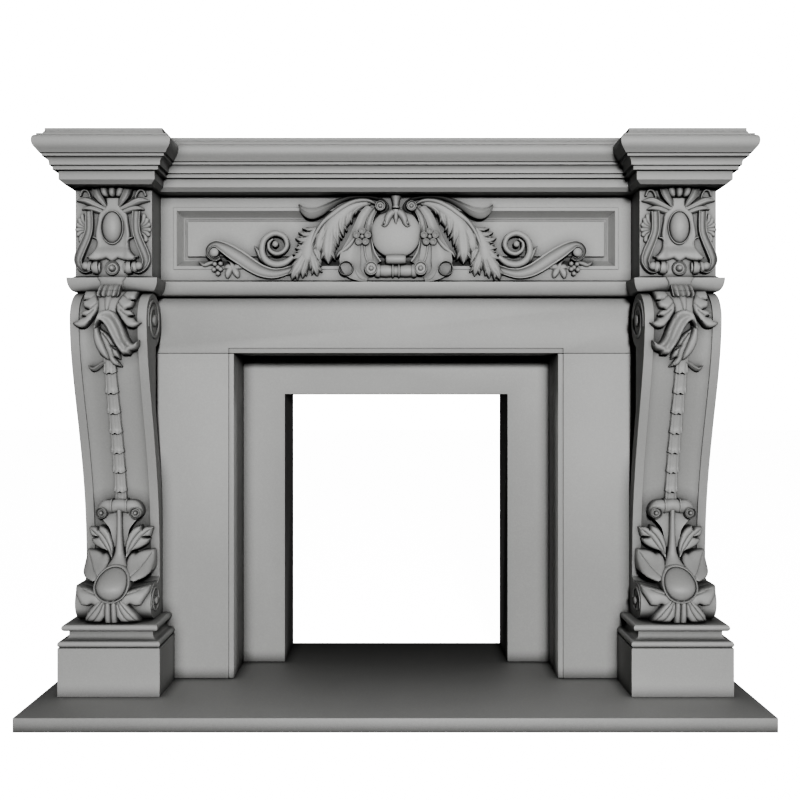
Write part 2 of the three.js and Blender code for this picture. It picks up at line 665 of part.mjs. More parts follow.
// Mantel shelf
{
  const steps = [[CHAMFER_OUT, zShelf]];
  let out = FASCIA_OUT;
  let z = zShelf + CHAMFER_H;
  const up = (rise) => {
    z += rise;
    steps.push([out, z]);
  };
  const step = (more) => {
    out += more;
    steps.push([out, z]);
  };
  steps.push([out, z]);
  up(FASCIA_H);
  step(FILLET_OUT);
  up(FILLET_H);
  step(COVE_FOOT_OUT);
  up(COVE_FOOT_H);
  arc(out + COVE_OUT, z, COVE_OUT, COVE_H, 180, 90, 3).slice(1).forEach((point) => steps.push(point));
  out += COVE_OUT;
  z += COVE_H;
  step(LISTEL_OUT);
  up(LISTEL_H);
  step(NOSE_FOOT_OUT);
  const nose = [[0.1, 0.05], [0.3, 0.14], [0.76, 0.34], [0.92, 0.45], [1, 0.62], [0.97, 0.8], [0.8, 0.91],
    [0.45, 1]];
  nose.forEach(([outShare, upShare]) => steps.push([out + outShare * NOSE_OUT, z + upShare * NOSE_H]));
  z += NOSE_H;
  out += NOSE_OUT - NOSE_FILLET_INSET;
  steps.push([out, z + 0.01]);
  up(NOSE_FILLET_H);
  step(-CAP_INSET);
  up(CAP_H * 0.25);
  out -= CAP_TAPER;
  up(CAP_H * 0.75);

  const plan = (p) => {
    const outer = xLeg + BLOCK_W / 2 + p;
    const inner = xLeg - BLOCK_W / 2 - p;
    const yEnd = yBlock - CORNICE_OVERHANG - p;
    const yMiddle = yPanel - CORNICE_OVERHANG - p;
    return [
      [-outer, yWall],
      [-outer, yEnd],
      [-inner, yEnd],
      [-inner, yMiddle],
      [inner, yMiddle],
      [inner, yEnd],
      [outer, yEnd],
      [outer, yWall],
    ];
  };
  addStone('mantel_shelf', moulding(steps, plan));
}

export default group;
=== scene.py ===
import math

import bpy
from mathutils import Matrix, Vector
from mathutils.geometry import delaunay_2d_cdt


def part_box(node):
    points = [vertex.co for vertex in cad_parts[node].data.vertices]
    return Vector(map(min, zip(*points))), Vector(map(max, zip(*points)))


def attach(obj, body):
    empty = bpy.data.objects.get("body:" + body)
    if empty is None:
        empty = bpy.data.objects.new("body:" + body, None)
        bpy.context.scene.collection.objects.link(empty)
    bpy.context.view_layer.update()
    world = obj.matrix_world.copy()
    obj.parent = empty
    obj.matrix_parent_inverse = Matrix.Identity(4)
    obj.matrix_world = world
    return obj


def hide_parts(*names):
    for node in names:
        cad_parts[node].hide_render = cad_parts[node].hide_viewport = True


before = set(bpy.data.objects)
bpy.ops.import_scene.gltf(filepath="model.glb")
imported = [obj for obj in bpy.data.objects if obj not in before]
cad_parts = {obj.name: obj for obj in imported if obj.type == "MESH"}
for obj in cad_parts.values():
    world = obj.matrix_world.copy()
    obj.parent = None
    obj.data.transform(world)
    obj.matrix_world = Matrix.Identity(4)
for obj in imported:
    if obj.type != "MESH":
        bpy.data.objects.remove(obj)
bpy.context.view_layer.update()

# Where the viewer stands
# The mantelpiece is seen square from the front, a little right of the middle,
# with the eye halfway up.
EYE = (0.0095, -2.2923, 0.6838)
EYE_LENS = 43.46
bpy.ops.object.camera_add(location=EYE, rotation=(math.pi / 2, 0, 0))
viewer = bpy.context.active_object
viewer.name = "viewer"
viewer.data.lens = EYE_LENS
viewer.data.sensor_width = 36
bpy.context.scene.camera = viewer


# Hearth
# One slab of pale grey stone lies on the floor, with a tongue that runs under the lining.
# It is sawn flat, rubbed smooth, and its arrises are just taken off.
class Shade:
    """A socket of the stone's shader that takes part in sums."""

    def __init__(self, tree, socket):
        self.tree = tree
        self.socket = socket

    def join(self, operation, first, second):
        node = self.tree.nodes.new("ShaderNodeMath")
        node.operation = operation
        for slot, value in zip(node.inputs, (first, second)):
            if isinstance(value, Shade):
                self.tree.links.new(value.socket, slot)
            else:
                slot.default_value = value
        return Shade(self.tree, node.outputs[0])

    def __add__(self, other):
        return self.join("ADD", self, other)

    def __radd__(self, other):
        return self.join("ADD", other, self)

    def __sub__(self, other):
        return self.join("SUBTRACT", self, other)

    def __mul__(self, other):
        return self.join("MULTIPLY", self, other)


class Finish:
    """A material's node tree, filled from a maker's list."""

    def __init__(self, name):
        self.material = bpy.data.materials.new(name)
        self.material.use_nodes = True
        self.tree = self.material.node_tree
        self.surface = self.tree.nodes["Principled BSDF"]

    def node(self, kind, settings, values, output=0):
        node = self.tree.nodes.new(kind)
        for name, value in settings.items():
            setattr(node, name, value)
        for name, value in values.items():
            self.feed(node.inputs[name], value)
        return Shade(self.tree, node.outputs[output])

    def feed(self, slot, value):
        if isinstance(value, Shade):
            self.tree.links.new(value.socket, slot)
        else:
            slot.default_value = value


def grey_stone():
    """Fine-grained pale grey stone: close grain, faint clouds, and painted shade that darkens its hollows
    and creases towards near black.
    """
    darker = (0.29, 0.29, 0.286, 1)
    paler = (0.37, 0.37, 0.363, 1)
    # painted shade: the near-black colour laid into the hollows and creases
    painted_crease_shade = (0.05, 0.05, 0.049, 1)
    hollow_reach = 0.03
    stone = Finish("grey_stone")
    place = stone.node("ShaderNodeTexCoord", {}, {}, "Object")
    cloud = stone.node("ShaderNodeTexNoise", {}, {"Vector": place, "Scale": 5.0, "Detail": 4.0})
    grain = stone.node("ShaderNodeTexNoise", {}, {"Vector": place, "Scale": 520.0, "Detail": 2.0})
    fleck = stone.node("ShaderNodeTexVoronoi", {}, {"Vector": place, "Scale": 260.0}, "Distance")
    tone = cloud * 0.5 + grain * 0.35 + fleck * 0.3 - 0.1
    body = stone.node(
        "ShaderNodeMix",
        {"data_type": "RGBA"},
        {"Factor": tone, "A": darker, "B": paler},
        "Result",
    )
    # painted shade: ambient occlusion finds the hollows and creases, and the mask below darkens them
    # towards near black
    hollow = stone.node(
        "ShaderNodeAmbientOcclusion", {"samples": 6}, {"Distance": hollow_reach}, "AO"
    )
    painted_shade_mask = stone.node(
        "ShaderNodeMapRange",
        {},
        {"Value": hollow, "From Min": 0.2, "From Max": 0.94, "To Min": 1.0, "To Max": 0.0},
    )
    colour = stone.node(
        "ShaderNodeMix",
        {"data_type": "RGBA"},
        {"Factor": painted_shade_mask, "A": body, "B": painted_crease_shade},
        "Result",
    )
    relief = grain * 0.6 + fleck * 0.4
    grained = stone.node(
        "ShaderNodeBump", {}, {"Strength": 0.22, "Distance": 0.0004, "Height": relief}
    )
    stone.feed(stone.surface.inputs["Base Color"], colour)
    stone.feed(stone.surface.inputs["Roughness"], 0.52 + grain * 0.14)
    stone.feed(stone.surface.inputs["Normal"], grained)
    return stone.material


STONE = grey_stone()
MM = 0.001


def dress(piece, *nodes):
    """Gives a finished stone its material and its place in the object."""
    piece.data.materials.clear()
    piece.data.materials.append(STONE)
    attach(piece, "root")
    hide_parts(*nodes)


def only(piece):
    """Leaves one piece selected and active."""
    bpy.ops.object.select_all(action="DESELECT")
    piece.select_set(True)
    bpy.context.view_layer.objects.active = piece


def round_arrises(piece, width, angle=50):
    """Takes the corners sharper than an angle off a stone and shades it."""
    only(piece)
    edge = piece.modifiers.new("arris", "BEVEL")
    edge.width = width * MM
    edge.segments = 2
    edge.limit_method = "ANGLE"
    edge.angle_limit = math.radians(angle)
    bpy.ops.object.modifier_apply(modifier=edge.name)
    bpy.ops.object.shade_smooth_by_angle(angle=math.radians(32))


def sawn_block(node, arris):
    """A plain stone, taken from its solid, with its faces made whole and its arrises eased."""
    piece = bpy.data.objects.new(node + "_stone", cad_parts[node].data.copy())
    bpy.context.collection.objects.link(piece)
    only(piece)
    bpy.ops.object.mode_set(mode="EDIT")
    bpy.ops.mesh.select_all(action="SELECT")
    bpy.ops.mesh.remove_doubles(threshold=0.00001)
    bpy.ops.mesh.dissolve_limited(angle_limit=math.radians(0.5))
    bpy.ops.object.mode_set(mode="OBJECT")
    round_arrises(piece, arris)
    dress(piece, node)


RUBBED_ARRIS = 1.2
sawn_block("hearth_slab", RUBBED_ARRIS)

# Surround and lining
# Two jambs and a header stand flush in front, with a shallow rebate cut around the opening.
# The three-sided lining behind them reaches back into the chimney.
for plain in ("surround_jamb_left", "surround_jamb_right", "surround_header"):
    sawn_block(plain, RUBBED_ARRIS)
LINING_ARRIS = 0.8
sawn_block("inner_frame", LINING_ARRIS)


# Plinths
# Each leg stands on a squared block whose cap is run with two rounds and a hollow between them.
# The mouldings return along both sides and die into the surround.
def arc(centre, radii, start, end, steps):
    """Points along part of an ellipse; angles in degrees from the first axis."""
    points = []
    for i in range(steps + 1):
        angle = math.radians(start + (end - start) * i / steps)
        first = centre[0] + radii[0] * math.cos(angle)
        second = centre[1] + radii[1] * math.sin(angle)
        points.append((first, second))
    return points


class Carving:
    """Closed shells that together make one carved stone; all sizes in millimetres."""

    def __init__(self):
        self.points = []
        self.faces = []

    def shell(self, rings):
        """Skins a row of closed outlines and caps both ends."""
        count = len(rings[0])
        base = len(self.points)
        for ring in rings:
            self.points.extend(ring)
        for i in range(len(rings) - 1):
            for j in range(count):
                a = base + i * count + j
                b = base + i * count + (j + 1) % count
                self.faces.append((a, b, b + count, a + count))
        last = base + (len(rings) - 1) * count
        self.faces.append(tuple(range(base + count - 1, base - 1, -1)))
        self.faces.append(tuple(range(last, last + count)))

    def moulding(self, steps, plan):
        """Raises a level outline through steps of (how far out, height)."""
        self.shell([[(x, y, z) for x, y in plan(out)] for out, z in steps])

    def make(self, name):
        """Turns the shells into one mesh with its faces pointing out."""
        mesh = bpy.data.meshes.new(name)
        mesh.from_pydata([[c * MM for c in point] for point in self.points], [], self.faces)
        piece = bpy.data.objects.new(name, mesh)
        bpy.context.collection.objects.link(piece)
        only(piece)
        bpy.ops.object.mode_set(mode="EDIT")
        bpy.ops.mesh.select_all(action="SELECT")
        bpy.ops.mesh.remove_doubles(threshold=0.000002)
        bpy.ops.mesh.normals_make_consistent(inside=False)
        bpy.ops.object.mode_set(mode="OBJECT")
        bpy.ops.object.shade_smooth_by_angle(angle=math.radians(38))
        return piece


def join(first, other):
    """Makes one piece of two."""
    only(first)
    other.select_set(True)
    bpy.ops.object.join()
    return first


def corners(node):
    """A solid's lowest and highest corners in millimetres."""
    low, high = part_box(node)
    return low / MM, high / MM


TORUS_R = 7.5
SCOTIA_H = 12
SCOTIA_DEPTH = 19.5
NECK_H = 7.5
UPPER_TORUS_INSET = 6.2
TORUS_SWELL = 0.5
DIE_GROOVE = 1.6
CRISP_ARRIS = 0.5
MOULDED_ANGLE = 60
for side in ("left", "right"):
    low, high = corners("plinth_" + side)
    die_top = high.z - 4 * TORUS_R - SCOTIA_H - NECK_H
    neck = die_top + 2 * TORUS_R + SCOTIA_H
    half = (high.x - low.x) / 2 - TORUS_SWELL
    middle = (high.x + low.x) / 2
    front = low.y + TORUS_SWELL
    upper = neck + NECK_H + TORUS_R
    steps = [(0, low.z), (0, die_top - 1.2)]
    steps += [(-DIE_GROOVE, die_top - 0.6), (-DIE_GROOVE, die_top + 0.4)]
    steps += arc((-TORUS_R, die_top + TORUS_R), (TORUS_R + TORUS_SWELL, TORUS_R), -72, 90, 12)
    steps += arc((-TORUS_R, neck), (SCOTIA_DEPTH - TORUS_R, SCOTIA_H), 270, 180, 8)
    steps += [(-SCOTIA_DEPTH, neck + NECK_H)]
    steps += arc((-UPPER_TORUS_INSET - TORUS_R, upper), (TORUS_R, TORUS_R), -90, 90, 14)

    def plinth_plan(out):
        x = half + out
        y = front - out
        return [(middle - x, high.y), (middle - x, y), (middle + x, y), (middle + x, high.y)]

    plinth = Carving()
    plinth.moulding(steps, plinth_plan)
    block = plinth.make("plinth_cap_" + side)
    round_arrises(block, CRISP_ARRIS, MOULDED_ANGLE)
    dress(block, "plinth_" + side)


# Console legs
# Each leg is one stone: a large volute rolls forward under the frieze, the thin body swings
# back, and a small scroll stands on the plinth. The face is channelled behind a chain of husks.
def profile(height, count=12):
    """Samples a strip's cross-section, closer together near the edges."""
    shares = [-math.cos(math.pi * i / count) for i in range(count + 1)]
    return [(share, height(share)) for share in shares]


ROUND = profile(lambda s: 0.35 + 0.65 * math.sqrt(max(0, 1 - s * s)))
LOBE = profile(lambda s: 0.4 + 0.6 * (1 - abs(s) ** 2.2) - 0.16 * math.exp(-((s / 0.26) ** 2)), 16)
RIDGE = profile(lambda s: 0.34 + 0.66 * (1 - abs(s)) ** 0.85, 12)
HOLLOW = profile(lambda s: 0.6 + 0.4 * abs(s) ** 1.7, 14)
TWIN = profile(
    lambda s: 0.3 + 0.7 * math.sqrt(max(0, 1 - s * s)) - 0.12 * math.exp(-((s / 0.16) ** 2))
    - 0.14 * math.exp(-(((abs(s) - 0.66) / 0.1) ** 2)), 28
)
GATHERED = profile(lambda s: 0.72 + 0.28 * abs(math.cos(2 * math.pi * s)) ** 0.6, 32)
STRAP_HALF = [(1, 0.8), (0.96, 0.96), (0.9, 1), (0.76, 1), (0.7, 0.9), (0.55, 0.64), (0.3, 0.5)]
STRAP = [(-s, h) for s, h in STRAP_HALF] + [(0, 0.45)] + STRAP_HALF[::-1]


def even_run(path, spacing, least=6):
    """Rounds a row of control points into an even run of the same values."""
    length = sum(math.dist(a[:2], b[:2]) for a, b in zip(path, path[1:]))
    count = max(least, round(length / spacing))
    ends = [path[0]] + path + [path[-1]]
    run = []
    for i in range(count + 1):
        at = min(i / count * (len(path) - 1), len(path) - 1.000001)
        t = at - int(at)
        around = ends[int(at):int(at) + 4]
        run.append([
            0.5 * (2 * b + (c - a) * t + (2 * a - 5 * b + 4 * c - d) * t**2
                   + (3 * b - a - 3 * c + d) * t**3)
            for a, b, c, d in zip(*around)
        ])
    return run


MESH_STEP = 2.6
THINNEST = 0.3


def strip(carving, surface, path, section, lag=lambda share: 0, spacing=MESH_STEP):
    """A carved strip through [u, w, half width, rise]; its edges may lag behind its middle."""
    run = even_run(path, spacing)
    rings = []
    for i, (u, w, half, high) in enumerate(run):
        back = run[max(i - 1, 0)]
        ahead = run[min(i + 1, len(run) - 1)]
        along = Vector((ahead[0] - back[0], ahead[1] - back[1])).normalized()
        half = max(half, THINNEST)

        def across(share):
            late = lag(abs(share))
            return (
                u - along.y * half * share - along.x * late,
                w + along.x * half * share - along.y * late,
            )

        ring = [surface.top(*across(s), high * h) for s, h in section]
        ring += [surface.ground(*across(1)), surface.ground(*across(-1))]
        rings.append(ring)
    carving.shell(rings)


WIDE_LEAF = 11


def leaf(carving, surface, path):
    """A leaf with a long middle lobe and short pointed tips along its edges; wide ones have more."""
    strip(carving, surface, path, LOBE)
    run = even_run(path, 2)
    wide = max(point[2] for point in path) > WIDE_LEAF
    tips = (0.42, 0.68) if wide else (0.62,)
    for share in tips:
        at = run[round(share * (len(run) - 1))]
        ahead = run[min(round(share * (len(run) - 1)) + 1, len(run) - 1)]
        along = Vector((ahead[0] - at[0], ahead[1] - at[1])).normalized()
        for side in (-1, 1):
            out = Vector((-along.y, along.x)) * side * at[2]
            on = along * at[2]
            root = [at[0] - on.x * 0.7, at[1] - on.y * 0.7, at[2] * 0.3, at[3] * 0.7]
            bend = [at[0] + out.x * 0.62 + on.x * 0.1, at[1] + out.y * 0.62 + on.y * 0.1]
            tip = [at[0] + out.x * 1.12 + on.x * 1.05, at[1] + out.y * 1.12 + on.y * 1.05]
            lobe = [root, [*bend, at[2] * 0.46, at[3] * 0.95], [*tip, 1, at[3] * 0.6]]
            strip(carving, surface, lobe, LOBE)


def swell(edge, rise, reach):
    """A rounded height: one rise along the edge, climbing to another at a reach inside it."""
    def height(u, w, inset):
        return edge + (rise - edge) * math.sqrt(1 - (1 - min(inset / reach, 1)) ** 2)

    return height


def cut_edge(outline, spacing):
    """A smooth line round an outline, with a sharp corner at each point that has a third number."""
    first = next(i for i, point in enumerate(outline) if len(point) == 3)
    edge = []
    run = [outline[first][:2]]
    for point in outline[first + 1:] + outline[:first + 1]:
        run.append(point[:2])
        if len(point) == 3:
            edge += even_run(run, spacing, 1)[:-1]
            run = [point[:2]]
    return edge


def gap(point, line):
    """The distance from a point to a line of points."""
    nearest = math.inf
    for a, b in zip(line, line[1:]):
        run = (b[0] - a[0], b[1] - a[1])
        off = (point[0] - a[0], point[1] - a[1])
        t = (off[0] * run[0] + off[1] * run[1]) / max(run[0] ** 2 + run[1] ** 2, 1e-9)
        t = min(max(t, 0), 1)
        nearest = min(nearest, math.hypot(off[0] - t * run[0], off[1] - t * run[1]))
    return nearest


def within(point, edge):
    """Whether a point lies inside a closed line."""
    inside = False
    for a, b in zip(edge, edge[1:] + edge[:1]):
        if (a[1] > point[1]) != (b[1] > point[1]):
            if point[0] < a[0] + (b[0] - a[0]) * (point[1] - a[1]) / (b[1] - a[1]):
                inside = not inside
    return inside


VEIN_WIDTH = 1.5
VEIN_SIDE = 1.6
VEIN_CLEAR = 2.4
VEIN_FADE = 5
EDGE_CLEAR = 0.9


def blade(carving, surface, outline, height, veins=(), depth=3):
    """A leaf cut to an outline of (u, w), with sharp veins sunk along it."""
    edge = cut_edge(outline, MESH_STEP)
    closed = edge + edge[:1]
    veins = [even_run(vein, 2, 2) for vein in veins]
    inner = []
    for vein in veins:
        for a, b in zip(vein, vein[1:]):
            along = Vector((b[0] - a[0], b[1] - a[1])).normalized()
            for side in (-VEIN_SIDE, 0, VEIN_SIDE):
                inner.append((a[0] - along.y * side, a[1] + along.x * side))
    lows = [min(point[k] for point in edge) for k in (0, 1)]
    highs = [max(point[k] for point in edge) for k in (0, 1)]
    for j in range(math.ceil((highs[1] - lows[1]) / MESH_STEP)):
        for i in range(math.ceil((highs[0] - lows[0]) / MESH_STEP)):
            point = (lows[0] + (i + 0.5 * (j % 2)) * MESH_STEP, lows[1] + (j + 0.5) * MESH_STEP)
            if all(gap(point, vein) > VEIN_CLEAR for vein in veins):
                inner.append(point)
    inner = [point for point in inner if within(point, edge) and gap(point, closed) > EDGE_CLEAR]
    flat = [Vector(point) for point in edge + inner]
    ring = list(range(len(edge)))
    spots, _, faces, sources, _, _ = delaunay_2d_cdt(flat, [], [ring], 1, 0.00001)
    place = {source: spot for spot, group in enumerate(sources) for source in group}
    base = len(carving.points)
    for u, w in spots:
        inset = gap((u, w), closed)
        groove = sum(math.exp(-((gap((u, w), vein) / VEIN_WIDTH) ** 2)) for vein in veins)
        fade = min(inset / VEIN_FADE, 1)
        rise = height(u, w, inset) - depth * min(groove, 1) * fade
        carving.points.append(surface.top(u, w, rise))
    below = len(carving.points)
    carving.points += [surface.ground(*point) for point in edge]
    carving.faces += [tuple(base + spot for spot in face) for face in faces]
    for i in ring:
        after = (i + 1) % len(ring)
        carving.faces.append((base + place[i], base + place[after], below + after, below + i))
    carving.faces.append(tuple(below + i for i in ring))


# how a boss goes up from its rim, as (share of its radius, share of its rise)
DOME = [(math.cos(math.radians(a)), math.sin(math.radians(a))) for a in range(0, 90, 9)]
RING = [(1, 0), (0.97, 0.8), (0.93, 1), (0.89, 0.6)]
CUP = [(1, 0), (0.9, 1), (0.78, 0.4), (0.6, -0.6)]
TUBE_END = [(1, 0), (0.95, 0.8), (0.87, 1), (0.78, 0.6), (0.7, 0)]
ROLL_END = [(1, 0), (0.92, 0.9), (0.8, 1), (0.66, 0.3)]
ROD_END = [(1, 0), (0.95, 0.8), (0.84, 1), (0.68, 0.3)]
EAR_END = [(1, 0), (0.96, 0.9), (0.9, 1), (0.82, 0.4), (0.76, -0.6)]
PETAL = [(1, 0), (0.88, 0.8), (0.7, 1), (0.4, 0.7), (0.2, 0.5)]


def boss(carving, surface, centre, radii, rise, edge=0.35, shape=DOME, sides=32):
    """A rounded boss; its edge stands at a share of the rise."""
    def outline(share):
        return [
            (centre[0] + radii[0] * share * math.cos(k * math.tau / sides),
             centre[1] + radii[1] * share * math.sin(k * math.tau / sides))
            for k in range(sides)
        ]

    rings = [[surface.ground(*p) for p in outline(1)]]
    for share, up in [*shape, (0.02, shape[-1][1])]:
        rings.append([surface.top(*p, rise * (edge + (1 - edge) * up)) for p in outline(share)])
    carving.shell(rings)


class Surface:
    """A face that takes carving: u across, w up from the stone's foot, and a rise off the face."""

    def __init__(self, top, ground):
        self.top = top
        self.ground = ground


jamb_low, jamb_high = corners("surround_jamb_right")
block_low, block_high = corners("frieze_block_right")
Y_SURROUND = jamb_low.y
Y_WALL = jamb_high.y
BLOCK_PROJECTION = 101.7
Y_BLOCK = Y_SURROUND - BLOCK_PROJECTION
JOINT = 0.3
LEG_SPACING = 1263.8
X_LEG = LEG_SPACING / 2
LEG_W = 169.4
Z_LEG = corners("plinth_left")[1].z + JOINT
Z_FRIEZE = block_low.z
LEG_H = Z_FRIEZE - JOINT - Z_LEG
VOLUTE_R = 62
VOLUTE_PROJECTION = 144.2
SCROLL_R = 41
SCROLL_PROJECTION = 110.2
BODY_T = 36
BODY_PROJECTION = 28.2
BODY_RISE = 112
BODY_BEND = 1.35
BODY_STEPS = 60
BACK_STEPS = 30
NECK_SETBACK = 63
FILLET_W = 20.5
CHANNEL_DEPTH = 6.75
CHANNEL_OUTER = LEG_W / 2 - FILLET_W
CHANNEL_INNER = 14.5
EDGE_WEAR = 0.8
HUSK_PITCH = 45
SIDE_RELIEF = 3.5
VOLUTE_COIL_R = 49
SCROLL_COIL_R = 33
DRAPE_LOW = 70
DRAPE_HIGH = 150
DRAPE_OUT = VOLUTE_PROJECTION * 0.76
DRAPE_OUT_HIGH = 48
Y_VOLUTE = Y_SURROUND - VOLUTE_PROJECTION + VOLUTE_R
W_VOLUTE = LEG_H - VOLUTE_R
Y_SCROLL = Y_SURROUND - SCROLL_PROJECTION + SCROLL_R


def circle_front(y, w, radius, at):
    """How far forward a round reaches at a height."""
    off = at - w
    return y - math.sqrt(radius**2 - off**2) if abs(off) < radius else math.inf


def body_front(w):
    """The S of the leg's body in side view."""
    start = 2 * SCROLL_R
    t = min(max((w - start) / (W_VOLUTE - start), 0), 1) ** BODY_BEND
    lift = t * t * (3 - 2 * t)
    return Y_SURROUND - BODY_PROJECTION - (VOLUTE_PROJECTION - BODY_PROJECTION) * lift


def leg_front(w):
    if w > W_VOLUTE:
        return circle_front(Y_VOLUTE, W_VOLUTE, VOLUTE_R, min(w, LEG_H - 1.5))
    return min(body_front(w), circle_front(Y_SCROLL, SCROLL_R, SCROLL_R, w))


def smooth(value, low, high):
    t = min(max((value - low) / (high - low), 0), 1)
    return t * t * (3 - 2 * t)


def foot_drape(u, w):
    """The leaves at the foot hang forward from the body over the scroll."""
    fall = smooth(w, DRAPE_LOW, DRAPE_HIGH)
    middle = Y_SURROUND - (DRAPE_OUT * (1 - fall) + DRAPE_OUT_HIGH * fall)
    edge = leg_front(min(w, DRAPE_LOW + 2)) * (1 - fall) + body_front(w) * fall
    out = min(1, abs(u) / (LEG_W / 2)) ** 2
    return min(leg_front(w), middle * (1 - out) + edge * out)


def leg_outline():
    """The leg in side view, as rows of (y, w, share of the channels' depth)."""
    low = 2 * SCROLL_R + 6
    outline = [(Y_SURROUND - JOINT, 0, 0)]
    outline += [(y, w, 0) for y, w in arc((Y_SCROLL, SCROLL_R), (SCROLL_R, SCROLL_R), 270, 60, 22)]
    rise = W_VOLUTE - low
    for i in range(BODY_STEPS + 1):
        w = low + rise * i / BODY_STEPS
        outline.append((body_front(w), w, min(1, i / 3)))
    for y, w in arc((Y_VOLUTE, W_VOLUTE), (VOLUTE_R, VOLUTE_R), 176, -75, 44):
        outline.append((y, w, 1 if y < Y_VOLUTE else 0))
    neck = W_VOLUTE - VOLUTE_R
    last = 0
    for i in range(BACK_STEPS + 1):
        w = neck - (neck - BODY_RISE) * i / BACK_STEPS
        y = max(body_front(w) + BODY_T, Y_SURROUND - NECK_SETBACK)
        if y < Y_SURROUND - JOINT:
            outline.append((y, w, 0))
            last = w
    outline.append((Y_SURROUND - JOINT, last - BODY_T, 0))
    return outline


def channel_cut(u):
    """How deep the face is hollowed beside the chain of husks."""
    off = abs(u)
    if off >= CHANNEL_OUTER or off <= CHANNEL_INNER:
        return 0.0
    t = (CHANNEL_OUTER - off) / (CHANNEL_OUTER - CHANNEL_INNER)
    return CHANNEL_DEPTH * (0.4 + 0.75 * math.sin(math.pi * t ** 0.75) - 0.1 * t)


def leg_body(carving, x):
    """The S-shaped body with its hollowed face."""
    outline = leg_outline()
    edge = CHANNEL_OUTER
    inner = CHANNEL_INNER
    stations = [LEG_W / 2, LEG_W / 2 - EDGE_WEAR, edge + 0.4, edge - 0.2]
    stations += [inner + (edge - 0.2 - inner) * (1 - i / 12) for i in range(1, 12)]
    stations += [inner + 0.1, inner, 0]
    stations = [-u for u in stations] + stations[:-1][::-1]
    rings = []
    for u in stations:
        worn = EDGE_WEAR if abs(u) == LEG_W / 2 else 0
        ring = []
        for i, (y, w, share) in enumerate(outline):
            before = outline[i - 1]
            after = outline[(i + 1) % len(outline)]
            run = Vector((after[0] - before[0], after[1] - before[1])).normalized()
            deep = worn + channel_cut(u) * share
            ring.append((x + u, y + run.y * deep, Z_LEG + min(max(w - run.x * deep, 0), LEG_H)))
        rings.append(ring)
    carving.shell(rings)


def side_scroll(carving, x, y, w, radius, turns):
    """The spiral on both cheeks of a roll, winding in to a round eye."""
    for way in (-1, 1):
        cheek = x + way * LEG_W / 2
        side = Surface(
            lambda a, b, rise: (cheek + way * rise, y + a, Z_LEG + w + b),
            lambda a, b: (cheek - way * 4, y + a, Z_LEG + w + b),
        )
        coil = []
        count = round(turns * 14)
        for i in range(count + 1):
            share = i / count
            reach = radius * (1 - 0.66 * share)
            angle = math.radians(200 - 360 * turns * share)
            high = SIDE_RELIEF * (0.25 + 0.75 * math.sin(math.pi * min(1, share * 1.1 + 0.1)))
            band = radius * (0.07 + 0.03 * math.sin(math.pi * share))
            coil.append([reach * math.cos(angle), reach * math.sin(angle), band, high])
        strip(carving, side, coil, ROUND, spacing=2)
        boss(carving, side, (0, 0), (radius * 0.27, radius * 0.27), 2 * SIDE_RELIEF, 0.4)


# Outlines run round a leaf; a third number marks a sharp corner.
FOOT_LEAVES = [
    # each leaf's outline, its height, and its veins
    (
        [(15, 132, 1), (13.3, 161), (19, 183), (27, 198), (37, 206), (47, 208, 1), (49.6, 199, 1),
         (57, 204.5), (73.5, 204, 1), (71, 192.5), (68, 184, 1), (50, 182, 1), (67, 178, 1), (63.5, 169),
         (54.5, 161), (40.5, 154.5), (28.5, 150.5), (24, 144, 1)],
        swell(8, 15, 8),
        [[(17, 138), (22, 160), (34, 182), (49, 198)], [(20, 140), (33, 162), (50, 184), (70, 202)]],
    ),
    (
        [(19.5, 130, 1), (22, 139), (29, 146.5), (37, 145), (45, 149.5), (57, 152.5), (77, 153, 1),
         (79, 140), (78.5, 122), (76, 108), (68, 98.5), (57.5, 93), (46, 88.6, 1), (34, 94), (24, 110)],
        swell(9, 19, 16),
        [[(37, 100), (50, 113), (60, 127), (70, 142), (75, 151)]],
    ),
    (
        [(22, 58, 1), (28, 69), (39, 73), (61, 78), (83, 82, 1), (82, 68.7), (74.3, 55), (65.5, 40.6, 1),
         (52.3, 39), (42, 43), (36, 38, 1), (24, 42), (17, 50)],
        swell(10, 20, 12),
        [[(26, 62), (44, 67), (64, 74), (80, 80)]],
    ),
    (
        [(11, 58, 1), (26, 54), (38, 42), (46, 33), (54, 22), (59, 11.5), (62, 1, 1), (46, 0.8), (28, 0.8),
         (21, 3.5, 1), (15, 11), (11.5, 16, 1), (10, 34)],
        swell(10, 21, 12),
        [[(19, 50), (32, 33), (46, 16), (55, 4)], [(16, 44), (23, 28), (33, 12), (41, 3)]],
    ),
]
CROWN_LEAF = [
    (36, 736, 1), (60, 736, 1), (58, 722), (57, 715, 1), (44, 713, 1), (56, 709.5, 1), (54, 702),
    (52, 698, 1), (39, 693, 1), (51, 691, 1), (56, 685), (58, 681.5, 1), (47, 678.5, 1), (58, 675.5, 1),
    (64, 668.5), (75, 666, 1), (68, 659), (58, 654.5), (46, 656.6), (35.5, 667.7), (27, 678.5),
    (20.5, 688, 1), (19, 702), (25, 718),
]
CROWN_VEINS = [
    [(27, 722), (35, 717), (43, 713)],
    [(24, 704), (31, 698), (38, 693)],
    [(30, 690), (38, 684), (46, 679)],
]
CROWN_MIDDLE = [
    (-40, 736, 1), (40, 736, 1), (27, 718), (21, 702), (20, 686, 1), (0, 676), (-20, 686, 1),
    (-21, 702), (-27, 718),
]
